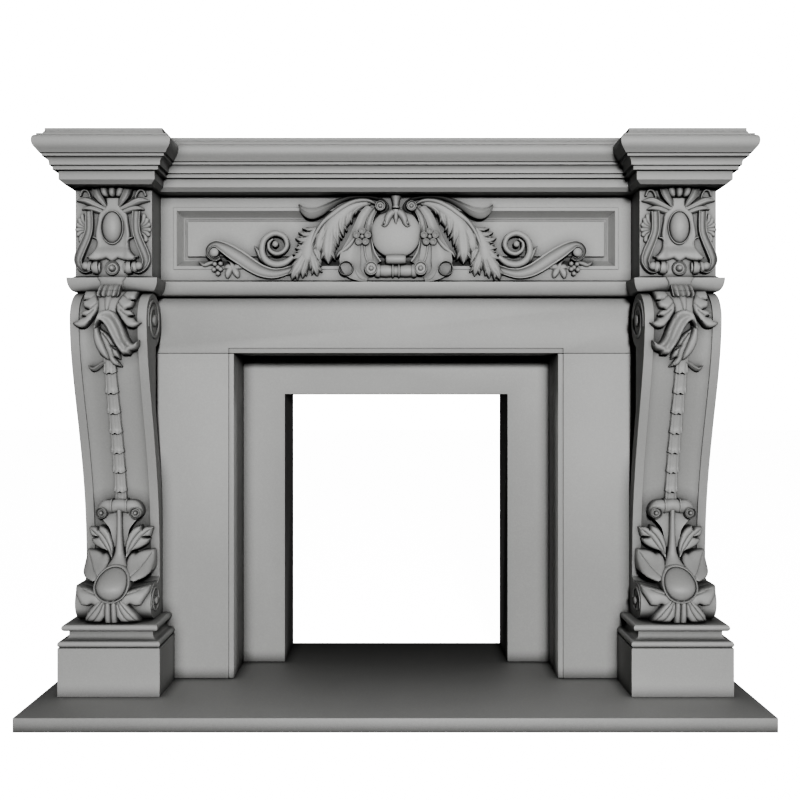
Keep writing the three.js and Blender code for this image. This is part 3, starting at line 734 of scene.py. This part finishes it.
# the leaf that hoods over the crown: its arm, its hanging lobe and a ribbon between them
HOOD_ARM = [
    (-27.5, 650, 1), (-24, 670), (-16.4, 684.4), (0, 690), (16.4, 687.3), (27.3, 677), (38.3, 655.6),
    (46, 633), (54.6, 620.5), (62.8, 621.9), (69.7, 627.6, 1), (68.9, 614.8), (62.8, 606.4),
    (51.4, 603, 1), (49, 596.3, 1), (33.3, 595.7, 1), (26, 605), (17.8, 617.7), (9.6, 634.5),
    (1.4, 651.4), (-7, 664), (-13, 667, 1), (-18, 660), (-19.5, 648, 1),
]
HOOD_LOBE = [
    (-28, 655, 1), (-29.5, 632), (-25, 613), (-16.4, 597), (-5.5, 586), (2, 583, 1), (5, 591), (1.5, 604),
    (-6, 624), (-12, 642), (-17, 658, 1),
]
HOOD_RIBBON = [
    (-17, 655, 1), (0, 643), (11, 630), (21, 606, 1), (7, 615, 1), (18, 610), (25, 598), (25.5, 586, 1),
    (13, 591, 1), (20, 582), (28, 570, 1), (11, 572.7), (0, 586.7), (-8.2, 609.2), (-15, 629),
]
RIBBON_VEIN = [(-9, 642), (1, 627), (9, 610), (13, 592), (20, 577)]
# strips, as [u, w, half width, rise]; the arch stands at one rise, given where it is carved
TAIL = [[0, 580, 3, 6], [-14, 577, 4, 8], [-27, 568, 4.5, 10], [-38, 564, 4, 11], [-47, 572, 1, 9]]
ARCH = [[-41, 232, 9], [-41, 243, 12], [-32, 251, 15.5], [-16, 253, 15], [0, 256, 14]]
ARCH += [[-u, w, half] for u, w, half in ARCH[-2::-1]]
ARCH_END = (39, 239)
ARCH_PLATE = [
    [0, 252, 47, 9], [0, 238, 48, 9], [0, 226, 42, 9], [0, 212, 30, 9], [0, 196, 21, 8], [0, 160, 15, 6],
]
FOOT_STEM = [
    [0, 246, 7, 16], [0, 200, 7, 16], [0, 168, 9, 16], [0, 146, 12, 17], [0, 130, 18, 17], [0, 116, 27, 15],
]
FOOT_BOSS = (0, 85)


def leg_face(x, mirror):
    """The leg's front, where a rise stands square off the S."""
    def top(u, w, rise):
        below = leg_front(max(w - 1, 0))
        above = leg_front(min(w + 1, LEG_H - 1.6))
        run = Vector((above - below, 2)).normalized()
        y = leg_front(w) - run.y * rise
        z = Z_LEG + min(w + run.x * rise * (w > W_VOLUTE), LEG_H)
        return (x + mirror * u, y, z)

    return Surface(top, lambda u, w: (x + mirror * u, leg_front(w) + 9, Z_LEG + min(w, LEG_H)))


def leg_foot(x, mirror):
    """The hanging leaves over the scroll."""
    return Surface(
        lambda u, w, rise: (x + mirror * u, foot_drape(u, w) - rise, Z_LEG + max(w, 0.4)),
        lambda u, w: (x + mirror * u, body_front(w) + 10, Z_LEG + max(w, 0.4)),
    )


def husk_chain(carving, face):
    """Bell husks threaded down the face, each tucked under the one above."""
    top = W_VOLUTE - VOLUTE_R - 16
    foot = 262
    w = top
    while w > foot:
        tip = max(w - HUSK_PITCH + 1, foot - 6)
        bell = [[0, w + 5, 12.5, 6], [0, tip + 16, 13.5, 9], [0, tip + 6, 14.5, 12.5], [0, tip, 15.5, 13.5]]
        strip(carving, face, bell, TWIN, lag=lambda share: 9 * abs(share - 0.4))
        w -= HUSK_PITCH


def tassel(carving, x, rows):
    """A gathered end in front of a leg's top joint, as rows of (z, half width, rise)."""
    front = Surface(
        lambda a, z, rise: (x + a, Y_BLOCK - rise, z),
        lambda a, z: (x + a, Y_BLOCK + 24, z),
    )
    strip(carving, front, [[0, *row] for row in rows], GATHERED)


def leg_crown(carving, x, inward):
    """The acanthus leaf that falls over the volute and curls towards the opening."""
    blade(carving, leg_face(x, 1), CROWN_MIDDLE, swell(7, 12, 16))
    strip(carving, leg_face(x, 1), [[0, 730, 11, 12], [0, 712, 10, 16], [0, 690, 5, 15]], ROUND)
    for mirror in (-1, 1):
        def curl(u, w, inset):
            return swell(6, 13, 8)(u, w, inset) + 6 * smooth(682 - w, 0, 24)

        blade(carving, leg_face(x, mirror), CROWN_LEAF, curl, CROWN_VEINS, 2.5)
    face = leg_face(x, inward)
    blade(carving, face, HOOD_RIBBON, swell(6, 14, 8), [RIBBON_VEIN])
    blade(carving, face, HOOD_LOBE, swell(8, 23, 9))

    def dished(u, w, inset):
        return swell(12, 26, 7)(u, w, inset) - 7 * smooth(inset, 5, 17)

    blade(carving, face, HOOD_ARM, dished)
    strip(carving, face, TAIL, RIDGE)
    top = Z_FRIEZE - JOINT
    tassel(carving, x, [(top, 23.5, 37), (top - 7, 24, 44), (top - 13, 22, 44), (top - 16, 15, 36)])


def leg_foot_ornament(carving, x):
    """Leaves, a round boss in a ring, and a rolled bracket on a flared stem."""
    foot = leg_foot(x, 1)
    strip(carving, foot, ARCH_PLATE, HOLLOW)
    for mirror in (-1, 1):
        half = leg_foot(x, mirror)
        for outline, height, veins in FOOT_LEAVES:
            blade(carving, half, outline, height, veins, 2.6)
        boss(carving, half, ARCH_END, (13.5, 13.5), 27, 0.75, TUBE_END)
        boss(carving, half, ARCH_END, (5.5, 5.5), 27, 0.7)
    strip(carving, foot, [[*point, 19] for point in ARCH], ROUND)
    for u in (-17, 17):
        strip(carving, foot, [[u - 1.5, 254, 16.5, 21.5], [u + 1.5, 254, 16.5, 21.5]], ROUND)
    strip(carving, foot, FOOT_STEM, ROUND)
    for u in (-6.5, 6.5):
        fold = [[u, 66, 7, 18], [u, 40, 8, 20], [u * 1.1, 18, 8.5, 19], [u * 1.1, 2, 8.5, 15]]
        strip(carving, foot, fold, ROUND)
    boss(carving, foot, FOOT_BOSS, (40, 40), 22, 0.85, RING + [(0.86, -0.4)])
    boss(carving, foot, FOOT_BOSS, (34, 34), 33, 0.5)


for side, way in (("left", -1), ("right", 1)):
    x = way * X_LEG
    trunk = Carving()
    leg_body(trunk, x)
    trunk = trunk.make("console_leg_" + side)
    carving = Carving()
    husk_chain(carving, leg_face(x, 1))
    leg_crown(carving, x, -way)
    leg_foot_ornament(carving, x)
    side_scroll(carving, x, Y_VOLUTE, W_VOLUTE, VOLUTE_COIL_R, 2)
    side_scroll(carving, x, Y_SCROLL, SCROLL_R, SCROLL_COIL_R, 1.5)
    leaves = carving.make("leaves_" + side)
    dress(join(trunk, leaves), "leg_" + side)

# Frieze blocks
# A squared block stands over each leg. Its foot is run with an ovolo that returns on both
# sides, and its face is carved with an oval boss on a shield between two scrolled straps.
BLOCK_W = 171.4
PANEL_PROJECTION = 23.7
Y_PANEL = Y_SURROUND - PANEL_PROJECTION
Z_FRIEZE_TOP = block_high.z
FRIEZE_H = Z_FRIEZE_TOP - Z_FRIEZE
OVOLO_H = 31
OVOLO_PROJECTION = 15.4
OVOLO_CHAMFER = 5
OVOLO = arc((0, OVOLO_H), (OVOLO_PROJECTION, OVOLO_H), -87, 0, 16)
OVOLO += [(OVOLO_CHAMFER * 1.2, OVOLO_H + 0.8), (0, OVOLO_H + OVOLO_CHAMFER)]


def ovolo_out(w):
    """How far the face of a frieze stone stands out, with its ovolo."""
    if w > OVOLO_H:
        return 0
    drop = 1 - max(w, 0) / OVOLO_H
    return OVOLO_PROJECTION * math.sqrt(max(0, 1 - drop * drop))


def frieze_face(x, mirror, plane):
    """The front of a frieze stone."""
    def level(w):
        return Z_FRIEZE + min(max(w, 0), FRIEZE_H)

    return Surface(
        lambda u, w, rise: (x + mirror * u, plane - ovolo_out(w) - rise, level(w)),
        lambda u, w: (x + mirror * u, plane + 11, level(w)),
    )


SHIELD_HALF = [
    (17, 212, 1), (16, 200), (18, 189), (28.6, 179), (33, 167.5), (34.4, 156), (37.8, 136), (38.7, 124),
    (35.8, 112.6), (37.2, 98), (44.4, 85), (53, 77, 1), (50, 70, 1), (38, 68.5), (24, 70.5), (13, 74, 1),
    (6, 69),
]
SHIELD = SHIELD_HALF + [(0, 67)] + [(-point[0], *point[1:]) for point in SHIELD_HALF[::-1]]


def shield_height(u, w, inset):
    """Hollow behind the boss, with raised sides and a lip that flares at the foot."""
    lip = 9 * smooth(104 - w, 0, 22)
    sides = 3 * smooth(abs(u), 24, 38)
    return 9 + lip + sides - 5 * (1 - min(inset / 5, 1)) ** 2


OVAL = (0, 143)
SKIRT_EYE = (0, 52)
SKIRT = [
    [0, 86, 36, 6], [0, 66, 31, 10], [0, 52, 30, 11], [0, 41, 36, 10],
    [0, 30, 31, 7], [0, 20, 25, 6], [0, 4, 25, 4],
]
CARTOUCHE = [
    ([[37, 231, 8, 15], [34, 221, 8.5, 17], [29, 211, 8, 17], [21, 200, 6, 14], [14, 189, 3, 9]], HOLLOW),
    ([[22, 190, 3, 8], [40, 205, 4, 11], [54, 216, 1, 7]], RIDGE),
    ([[50, 203, 2.2, 7], [52, 217, 2.8, 9], [59, 227, 3, 9], [68, 226, 3, 9], [73, 214, 2.4, 7]], ROUND),
    ([[16, 185, 6, 10], [38, 195, 8, 13], [60, 204, 8, 15], [82, 203, 1, 9]], LOBE),
    ([[18, 176, 5, 9], [38, 184, 7, 12], [55, 187, 6, 12], [70, 184, 1, 7]], LOBE),
    ([[53, 180, 9, 12], [52, 150, 9, 12], [54, 131, 9, 12], [62, 109, 9.5, 13], [71, 88, 10, 14],
      [76, 70, 9, 15], [71, 55, 7, 16], [60, 46, 5, 16], [48, 50, 4, 15], [46, 60, 3.5, 14]], STRAP),
    ([[54, 56, 13, 17], [47, 55, 13.5, 18]], ROUND),
    ([[46, 55, 12, 16], [43, 55, 12, 16]], ROUND),
    ([[42, 55, 14.5, 19], [34, 54, 15.5, 20], [31, 54, 15, 19]], ROUND),
    ([[30, 54, 13, 16], [26, 54, 12.5, 15]], ROUND),
    ([[45, 122, 2, 9], [35, 118, 3, 11], [31, 105, 3, 11], [37, 91, 3, 11], [48, 79, 3, 12],
      [57, 78, 2, 10]], ROUND),
]
FAN_CENTRE = (58, 141)
FAN_LOBES = [(62, 33), (40, 31), (18, 30), (-4, 29), (-26, 29), (-50, 33)]


def side_fan(carving, face):
    """A ribbed shell that spreads from behind the strap."""
    for angle, reach in FAN_LOBES:
        ca = math.cos(math.radians(angle))
        sa = math.sin(math.radians(angle))
        start = (FAN_CENTRE[0] + 4 * ca, FAN_CENTRE[1] + 8 * sa)
        middle = (FAN_CENTRE[0] + reach * 0.6 * ca, FAN_CENTRE[1] + reach * 0.65 * sa)
        tip = (FAN_CENTRE[0] + min(reach, 22.5) * ca, FAN_CENTRE[1] + reach * sa)
        strip(carving, face, [[*start, 2, 4], [*middle, 5, 7], [*tip, 5.5, 8]], ROUND)
        boss(carving, face, tip, (5, 5), 8, 0.5, sides=16)


for side, way in (("left", -1), ("right", 1)):
    x = way * X_LEG
    half = BLOCK_W / 2
    inner = x - way * half
    outer = x + way * half
    mitre = Y_PANEL - JOINT

    def block_plan(out):
        return [
            (outer + way * out, Y_WALL),
            (outer + way * out, Y_BLOCK - out),
            (inner - way * out, Y_BLOCK - out),
            (inner - way * out, mitre - out),
            (inner, mitre - out),
            (inner, Y_WALL),
        ]

    stone = Carving()
    stone.moulding([(out, Z_FRIEZE + w) for out, w in OVOLO + [(0, FRIEZE_H)]], block_plan)
    core = stone.make("frieze_block_stone_" + side)
    round_arrises(core, CRISP_ARRIS, MOULDED_ANGLE)

    carving = Carving()
    face = frieze_face(x, 1, Y_BLOCK)
    blade(carving, face, SHIELD, shield_height)
    strip(carving, face, SKIRT, ROUND)
    boss(carving, face, OVAL, (26, 39), 15, 0.8, RING + [(0.86, -1)])
    boss(carving, face, OVAL, (22.5, 35.5), 27, 0.3)
    boss(carving, face, SKIRT_EYE, (17, 17), 14, 0.75, CUP)
    boss(carving, face, SKIRT_EYE, (8.5, 8.5), 21, 0.3)
    for u in (-17, 0, 17):
        shell_rib = [[u * 1.1, 231.6, 9.5, 19], [u, 222, 9, 21]]
        shell_rib += [[u * 0.8, 214, 6.5, 18], [u * 0.75, 211, 3, 12]]
        strip(carving, face, shell_rib, ROUND)
    tassel(carving, x, [(Z_FRIEZE + 17, 21, 14), (Z_FRIEZE + 10, 23, 27), (Z_FRIEZE, 23.5, 37)])
    for mirror in (-1, 1):
        face = frieze_face(x, mirror, Y_BLOCK)
        side_fan(carving, face)
        for path, section in CARTOUCHE:
            strip(carving, face, path, section)
        boss(carving, face, (59, 57), (9.5, 9.5), 19, 0.6)
    relief = carving.make("cartouche_" + side)
    dress(join(core, relief), "frieze_block_" + side)

# Frieze panel
# The long stone between the blocks has a moulded frame sunk around a raised field. A round
# shield in strapwork hangs at its middle, with acanthus, scrolls and grapes on either hand.
FRAME_MARGIN_X = 30.4
FRAME_MARGIN_TOP = 27.5
FRAME_MARGIN_BOTTOM = 31
FRAME_FILLET = 7
FRAME_FILLET_RISE = 1.5
FRAME_COVE_W = 17
FRAME_COVE_DEPTH = 15
FRAME_FLAT = 6.5
FIELD_RISE = 7
COVE_STEPS = 12
PANEL_HALF = corners("frieze_panel")[1].x


def frame_outline(inset, y):
    x = PANEL_HALF - FRAME_MARGIN_X - inset
    low = Z_FRIEZE + OVOLO_H + FRAME_MARGIN_BOTTOM + inset
    high = Z_FRIEZE_TOP - FRAME_MARGIN_TOP - inset
    return [(-x, y, low), (x, y, low), (x, y, high), (-x, y, high)]


slab = Carving()
whole = [(-PANEL_HALF, Z_FRIEZE), (PANEL_HALF, Z_FRIEZE)]
whole += [(PANEL_HALF, Z_FRIEZE_TOP), (-PANEL_HALF, Z_FRIEZE_TOP)]
rim = Y_PANEL - FRAME_FILLET_RISE
floor_y = Y_PANEL + FRAME_COVE_DEPTH
cove_in = FRAME_FILLET + FRAME_COVE_W
rings = [[(x, Y_WALL, z) for x, z in whole], [(x, Y_PANEL, z) for x, z in whole]]
rings += [frame_outline(-0.8, Y_PANEL), frame_outline(0, rim), frame_outline(FRAME_FILLET - 0.3, rim)]
for i in range(COVE_STEPS + 1):
    fall = 1 - (1 - i / COVE_STEPS) ** 1.5
    rings.append(frame_outline(FRAME_FILLET + FRAME_COVE_W * i / COVE_STEPS, rim + (floor_y - rim) * fall))
flat_in = cove_in + FRAME_FLAT
rings += [frame_outline(cove_in + 0.4, floor_y + 0.8), frame_outline(flat_in - 0.5, floor_y + 0.8)]
field_y = floor_y - FIELD_RISE
rings += [frame_outline(flat_in, field_y + 0.5), frame_outline(flat_in + 0.5, field_y)]
slab.shell(rings)
lip = [(Y_PANEL + 4, 0.05)]
lip += [(Y_PANEL - out, w) for out, w in OVOLO]
lip += [(Y_PANEL + 4, OVOLO_H + OVOLO_CHAMFER)]
slab.shell([[(x, y, Z_FRIEZE + w) for y, w in lip] for x in (-PANEL_HALF, PANEL_HALF)])
panel = slab.make("frieze_panel_stone")

LEAVES = [
    # under the frond, from the eye outwards
    [[58, 213, 3, 9], [80, 209, 7, 11], [97, 197, 8, 12], [107, 177, 1, 7]],
    [[88, 214, 5, 10], [105, 197, 10, 12], [111, 176, 9, 14], [117, 156, 1, 7]],
    [[106, 210, 6, 11], [122, 188, 12, 14], [126, 160, 11, 16], [121, 137, 1, 8]],
    [[122, 204, 6, 11], [137, 176, 12, 14], [139, 142, 12, 16], [133, 116, 1, 8]],
    [[138, 190, 6, 11], [151, 156, 14, 15], [156, 118, 18, 19], [157, 92, 13, 18], [156, 73, 1, 9]],
    [[152, 178, 5, 10], [169, 146, 12, 14], [177, 116, 13, 16], [180, 93, 1, 8]],
    # the outer leaf
    [[182, 158, 3, 6], [198, 153, 5, 10], [217, 156, 1, 7]],
    [[188, 147, 4, 7], [207, 141, 7, 12], [226, 147, 1, 8]],
    [[190, 136, 5, 8], [211, 128, 9, 13], [233, 133, 1, 9]],
    [[193, 124, 6, 8], [213, 112, 10, 13], [234, 110, 1, 8]],
    [[195, 118, 6, 9], [217, 96, 12, 13], [240, 85, 2, 8]],
    [[198, 113, 5, 9], [214, 88, 12, 14], [227, 64, 14, 18], [236, 48, 10, 16], [241, 36, 1, 8]],
    [[200, 106, 4, 9], [208, 74, 9, 15], [214, 54, 8, 15], [216, 40, 1, 8]],
    [[198, 109, 5, 9], [191, 82, 12, 15], [185, 62, 11, 17], [182, 45, 1, 8]],
    [[193, 118, 5, 9], [181, 97, 10, 13], [173, 71, 1, 8]],
]
FOLIAGE = [
    # the body of each leaf, from which its lobes part
    ([[66, 216, 8, 10], [96, 208, 12, 13], [120, 194, 18, 14], [140, 172, 22, 14], [152, 146, 22, 14],
      [158, 118, 16, 12], [160, 98, 6, 8]], ROUND),
    ([[186, 156, 4, 8], [196, 136, 12, 11], [204, 114, 16, 13], [208, 90, 18, 13],
      [208, 68, 12, 10]], ROUND),
    # strapwork behind the shield, flaring to a rolled ear
    ([[70, 164, 8, 5], [74, 134, 14, 7], [76, 104, 19, 8], [75, 76, 22, 9], [70, 54, 20, 8],
      [64, 42, 12, 6]], HOLLOW),
    ([[44, 206, 6, 5], [58, 182, 8, 7], [64, 152, 9, 7], [64, 120, 11, 7], [58, 92, 14, 8],
      [46, 72, 15, 8]], STRAP),
    ([[60, 206, 8, 7], [76, 184, 10, 9], [88, 152, 12, 10], [97, 122, 16, 11], [104, 98, 22, 13],
      [106, 78, 24, 15], [100, 58, 20, 13], [84, 44, 11, 9], [66, 38, 6, 7]], HOLLOW),
    ([[96, 132, 5, 10], [112, 112, 6, 13], [130, 98, 5, 13], [137, 88, 2, 9]], ROUND),
    # the frond's two ribs, rolled round the eye
    ([[47, 212, 3, 14], [62, 219, 5, 16], [82, 220, 6, 17], [102, 215, 7, 17], [124, 203, 7.5, 17],
      [146, 187, 7.5, 16], [166, 171, 6, 15], [180, 152, 5, 14], [190, 132, 5, 13], [197, 112, 4.5, 12],
      [201, 92, 2, 9]], ROUND),
    ([[225, 212, 0.6, 9], [216, 199, 7, 15], [198, 190, 12, 17], [178, 194, 11, 17], [156, 206, 8, 17],
      [134, 218, 6, 17], [110, 226, 4.5, 17], [84, 228, 3.5, 17], [56, 227, 3.5, 17], [34, 221, 4.5, 18],
      [21, 208, 5, 18], [24, 195, 4.5, 18], [36, 190, 3, 16]], RIDGE),
    # the long strap, its scroll and the coil that rises from it
    ([[407, 88, 4, 10], [418, 83, 4, 11], [431, 90, 4.5, 11], [436, 102, 5, 12], [430, 114, 6, 12],
      [416, 119, 8, 12], [398, 111, 13, 12], [378, 99, 16, 12], [356, 85, 16.5, 12], [334, 70, 16, 12],
      [310, 57, 14.5, 12], [282, 51, 12, 11], [252, 57, 9, 10], [226, 70, 7, 8]], STRAP),
    ([[238, 90, 6, 9], [257, 76, 8, 11], [280, 72, 8.5, 12], [301, 82, 8.5, 12], [310, 104, 8, 12],
      [304, 130, 7.5, 12], [282, 144, 7, 11], [260, 137, 6.5, 11], [252, 118, 6, 11], [261, 102, 5.5, 11],
      [278, 97, 5.5, 11], [292, 106, 5, 11], [294, 121, 4.5, 11], [284, 131, 3, 10]], ROUND),
    ([[296, 71, 4, 6], [310, 87, 7, 9], [319, 102, 5, 9], [328, 115, 0.8, 6]], LOBE),
    ([[416, 80, 3, 5], [432, 75, 5, 8], [445, 71, 4, 9], [458, 81, 0.8, 7]], LOBE),
    # vine leaf
    ([[380, 66, 5, 5], [388, 55, 8, 8], [390, 45, 6, 7], [389, 40, 2, 4]], LOBE),
    ([[378, 66, 5, 5], [371, 55, 8, 8], [367, 46, 6, 7], [366, 41, 2, 4]], LOBE),
    ([[378, 64, 5, 5], [389, 67, 7, 7], [398, 65, 2, 4]], LOBE),
    ([[378, 64, 5, 5], [366, 68, 8, 7], [356, 64, 2, 4]], LOBE),
    ([[378, 60, 5, 5], [379, 70, 6, 7], [384, 78, 2, 6], [392, 82, 1, 4]], LOBE),
]
GRAPES = [(419, 73), (406, 74), (412, 65), (421, 60), (406, 61), (412, 51)]
FROND_EYE = (36, 206)
FLOWER = (78, 135)
PETAL_REACH = 13.5
STRAP_EAR = (115, 62)
STRAP_EYE = (420, 100)
COIL_EYE = (279, 119)
ROD_W = 57
ROD_EYE = (57, 62)
DRAPE = [[5, 192, 9, 20], [13, 186, 10, 23], [19, 176, 9, 24], [22, 165, 7, 23]]
DRAPE += [[27, 159, 4, 21], [33, 162, 2, 18]]
SHIELD_FOOT = [[-24, 83, 8, 15], [-20, 83, 11, 20], [0, 83, 12, 22], [20, 83, 11, 20], [24, 83, 8, 15]]
carving = Carving()
face = frieze_face(0, 1, Y_PANEL)
boss(carving, face, (0, 144), (58, 58), 17, 0.35, sides=64)
for mirror in (-1, 1):
    face = frieze_face(0, mirror, Y_PANEL)
    for path in LEAVES:
        leaf(carving, face, path)
    for path, section in FOLIAGE:
        strip(carving, face, path, section)
    boss(carving, face, FROND_EYE, (12.5, 12.5), 21, 0.7, ROLL_END)
    boss(carving, face, FROND_EYE, (7, 7), 21, 0.3)
    boss(carving, face, STRAP_EAR, (17.5, 17.5), 21, 0.6, EAR_END)
    for k in range(5):
        angle = math.radians(90 + 72 * k)
        petal = (FLOWER[0] + PETAL_REACH * math.cos(angle), FLOWER[1] + PETAL_REACH * math.sin(angle))
        boss(carving, face, petal, (9, 9), 17, 0.6, PETAL, 20)
    boss(carving, face, FLOWER, (6.5, 6.5), 21, 0.4, sides=20)
    boss(carving, face, ROD_EYE, (16, 17), 22, 0.75, ROD_END)
    boss(carving, face, ROD_EYE, (8.5, 8.5), 23, 0.3)
    boss(carving, face, STRAP_EYE, (11, 11), 15, 0.6)
    boss(carving, face, COIL_EYE, (7.5, 7.5), 13, 0.6)
    for grape in GRAPES:
        boss(carving, face, grape, (5.8, 5.8), 11, 0.45, sides=18)
    strip(carving, face, DRAPE, ROUND)
    boss(carving, face, (26, 166), (5, 5), 25, 0.5, sides=20)
    for start, end, half, rise in ((46, 37, 16, 20), (35, 11, 14.5, 18.5), (9, 5, 16, 20)):
        barrel = [[start, ROD_W, half - 1, rise - 1], [(start + end) / 2, ROD_W, half, rise]]
        barrel += [[end, ROD_W, half - 1, rise - 1]]
        strip(carving, face, barrel, ROUND)
face = frieze_face(0, 1, Y_PANEL)
strip(carving, face, [[-48, ROD_W, 14, 17], [0, ROD_W, 13, 16], [48, ROD_W, 14, 17]], ROUND)
strip(carving, face, SHIELD_FOOT, ROUND)
strip(carving, face, [[0, 231, 14, 19], [0, 221, 10, 19], [0, 205, 7, 18]], ROUND)
strip(carving, face, [[0, 206, 9, 21], [0, 201, 9, 21]], ROUND)
strip(carving, face, [[0, 198, 10, 19], [0, 190, 14, 20]], ROUND)
strip(carving, face, [[0, 192, 6, 20], [0, 178, 7, 22], [0, 164, 3, 19]], ROUND)
foliage = carving.make("foliage")
dress(join(panel, foliage), "frieze_panel")

# Mantel shelf
# One long stone crowns the whole: chamfer, fascia, fillet, hollow, and a bold rolled nose.
# Its mouldings break forward over each block, and its flat top carries clocks and vases.
CORNICE_OVERHANG = 34.1
z = corners("mantel_shelf")[0].z
CORNICE = [(9.4, z), (19.4, z + 8.5), (19.4, z + 27.7), (29.1, z + 27.7), (29.1, z + 36.7)]
CORNICE += [(34.8, z + 36.7), (34.8, z + 39.9)]
CORNICE += arc((45.0, z + 39.9), (10.2, 13.6), 180, 90, 10)[1:]
CORNICE += [(46.2, z + 53.5), (46.2, z + 59.7), (50.5, z + 59.7)]
NOSE = [(51.8, 61.4), (54.4, 64.8), (57.4, 68.5), (60.3, 72.0), (62.2, 76.0), (63.2, 80.0), (63.4, 84.0)]
NOSE += [(63.1, 88.0), (62.0, 91.8), (59.8, 94.6), (57.4, 95.9), (55.0, 95.9)]
CORNICE += [(out, z + up) for out, up in NOSE]
CORNICE += [(55.0, z + 100.3), (44.9, z + 100.3), (44.6, z + 103.5)]
CORNICE += [(43.4, z + 106.5), (41.6, z + 108.6), (41.5, z + 114.9)]


def shelf_plan(out):
    end = X_LEG + BLOCK_W / 2 + out
    inner = X_LEG - BLOCK_W / 2 - out
    front = Y_BLOCK - CORNICE_OVERHANG - out
    middle = Y_PANEL - CORNICE_OVERHANG - out
    right = [(inner, middle), (inner, front), (end, front), (end, Y_WALL)]
    return [(-x, y) for x, y in right[::-1]] + right


shelf = Carving()
shelf.moulding(CORNICE, shelf_plan)
crown = shelf.make("mantel_shelf_stone")
SHELF_ARRIS = 0.6
round_arrises(crown, SHELF_ARRIS, MOULDED_ANGLE)
dress(crown, "mantel_shelf")

# Studio
# A pale floor and background, with one soft lamp behind the viewer, a little high and right.
# Weaker lamps behind and above show the back, the ends and the shelf's top when it is turned.
FLOOR_SIZE = 40
FLOOR_DROP = 0.0006
FLOOR_GLOW = 3.0
bpy.ops.object.select_all(action="DESELECT")
bpy.ops.mesh.primitive_plane_add(size=FLOOR_SIZE, location=(0, 0, -FLOOR_DROP))
ground = bpy.context.active_object
ground.name = "studio_floor"
pale = Finish("pale_floor")
pale.feed(pale.surface.inputs["Base Color"], (0.86, 0.86, 0.86, 1))
pale.feed(pale.surface.inputs["Roughness"], 0.9)
pale.feed(pale.surface.inputs["Emission Color"], (1, 1, 1, 1))
pale.feed(pale.surface.inputs["Emission Strength"], FLOOR_GLOW)
ground.data.materials.append(pale.material)
ground.visible_diffuse = False
ground.visible_glossy = False


def lamp(name, place, aim, width, power):
    bpy.ops.object.light_add(type="AREA", location=place)
    light = bpy.context.active_object
    light.name = name
    light.data.shape = "DISK"
    light.data.size = width
    light.data.energy = power
    light.rotation_euler = (Vector(aim) - Vector(place)).to_track_quat("-Z", "Y").to_euler()
    return light


def light_only(light, name, pieces):
    """Keeps a lamp's soft light to some of the stones, with no gleam."""
    light.visible_glossy = False
    group = bpy.data.collections.new(name)
    for piece in pieces:
        group.objects.link(piece)
    light.light_linking.receiver_collection = group


meshes = [piece for piece in bpy.data.objects if piece.type == "MESH"]
stones = [piece for piece in meshes if STONE.name in piece.data.materials]
inside = [piece for piece in stones if piece.name == "inner_frame_stone"]
outside = [piece for piece in stones if piece.name not in ("inner_frame_stone", "hearth_slab_stone")]
MIDDLE = (0, 0, 0.65)
SHELF_MIDDLE = (0, 0, 1.2)
SIDE_POWER = 150
BACK_POWER = 190
TOP_POWER = 120
KEY_POWER = 330
for way, name in ((-1, "left"), (1, "right")):
    side_lamp = lamp("side_lamp_" + name, (way * 3.9, 4.6, 0.9), MIDDLE, 1.2, SIDE_POWER)
    light_only(side_lamp, "outside_" + name, outside)
light_only(lamp("back_lamp", (0, 5.5, 0.7), MIDDLE, 0.6, BACK_POWER), "inside", inside)
light_only(lamp("top_lamp", (0, 2.4, 5.2), SHELF_MIDDLE, 1.2, TOP_POWER), "top", [crown])
lamp("key_lamp", (0.45, -5.9, 1.8), MIDDLE, 0.7, KEY_POWER)

AIR_GLOW = 0.012
BACKDROP_GLOW = 4.0
bpy.context.scene.view_settings.look = "AgX - Very High Contrast"
world = bpy.data.worlds.new("studio")
bpy.context.scene.world = world
world.use_nodes = True
air = world.node_tree
glow = air.nodes["Background"]
glow.inputs["Color"].default_value = (1, 1, 1, 1)
seen = air.nodes.new("ShaderNodeLightPath")
strength = air.nodes.new("ShaderNodeMapRange")
strength.inputs["To Min"].default_value = AIR_GLOW
strength.inputs["To Max"].default_value = BACKDROP_GLOW
air.links.new(seen.outputs["Is Camera Ray"], strength.inputs["Value"])
air.links.new(strength.outputs["Result"], glow.inputs["Strength"])
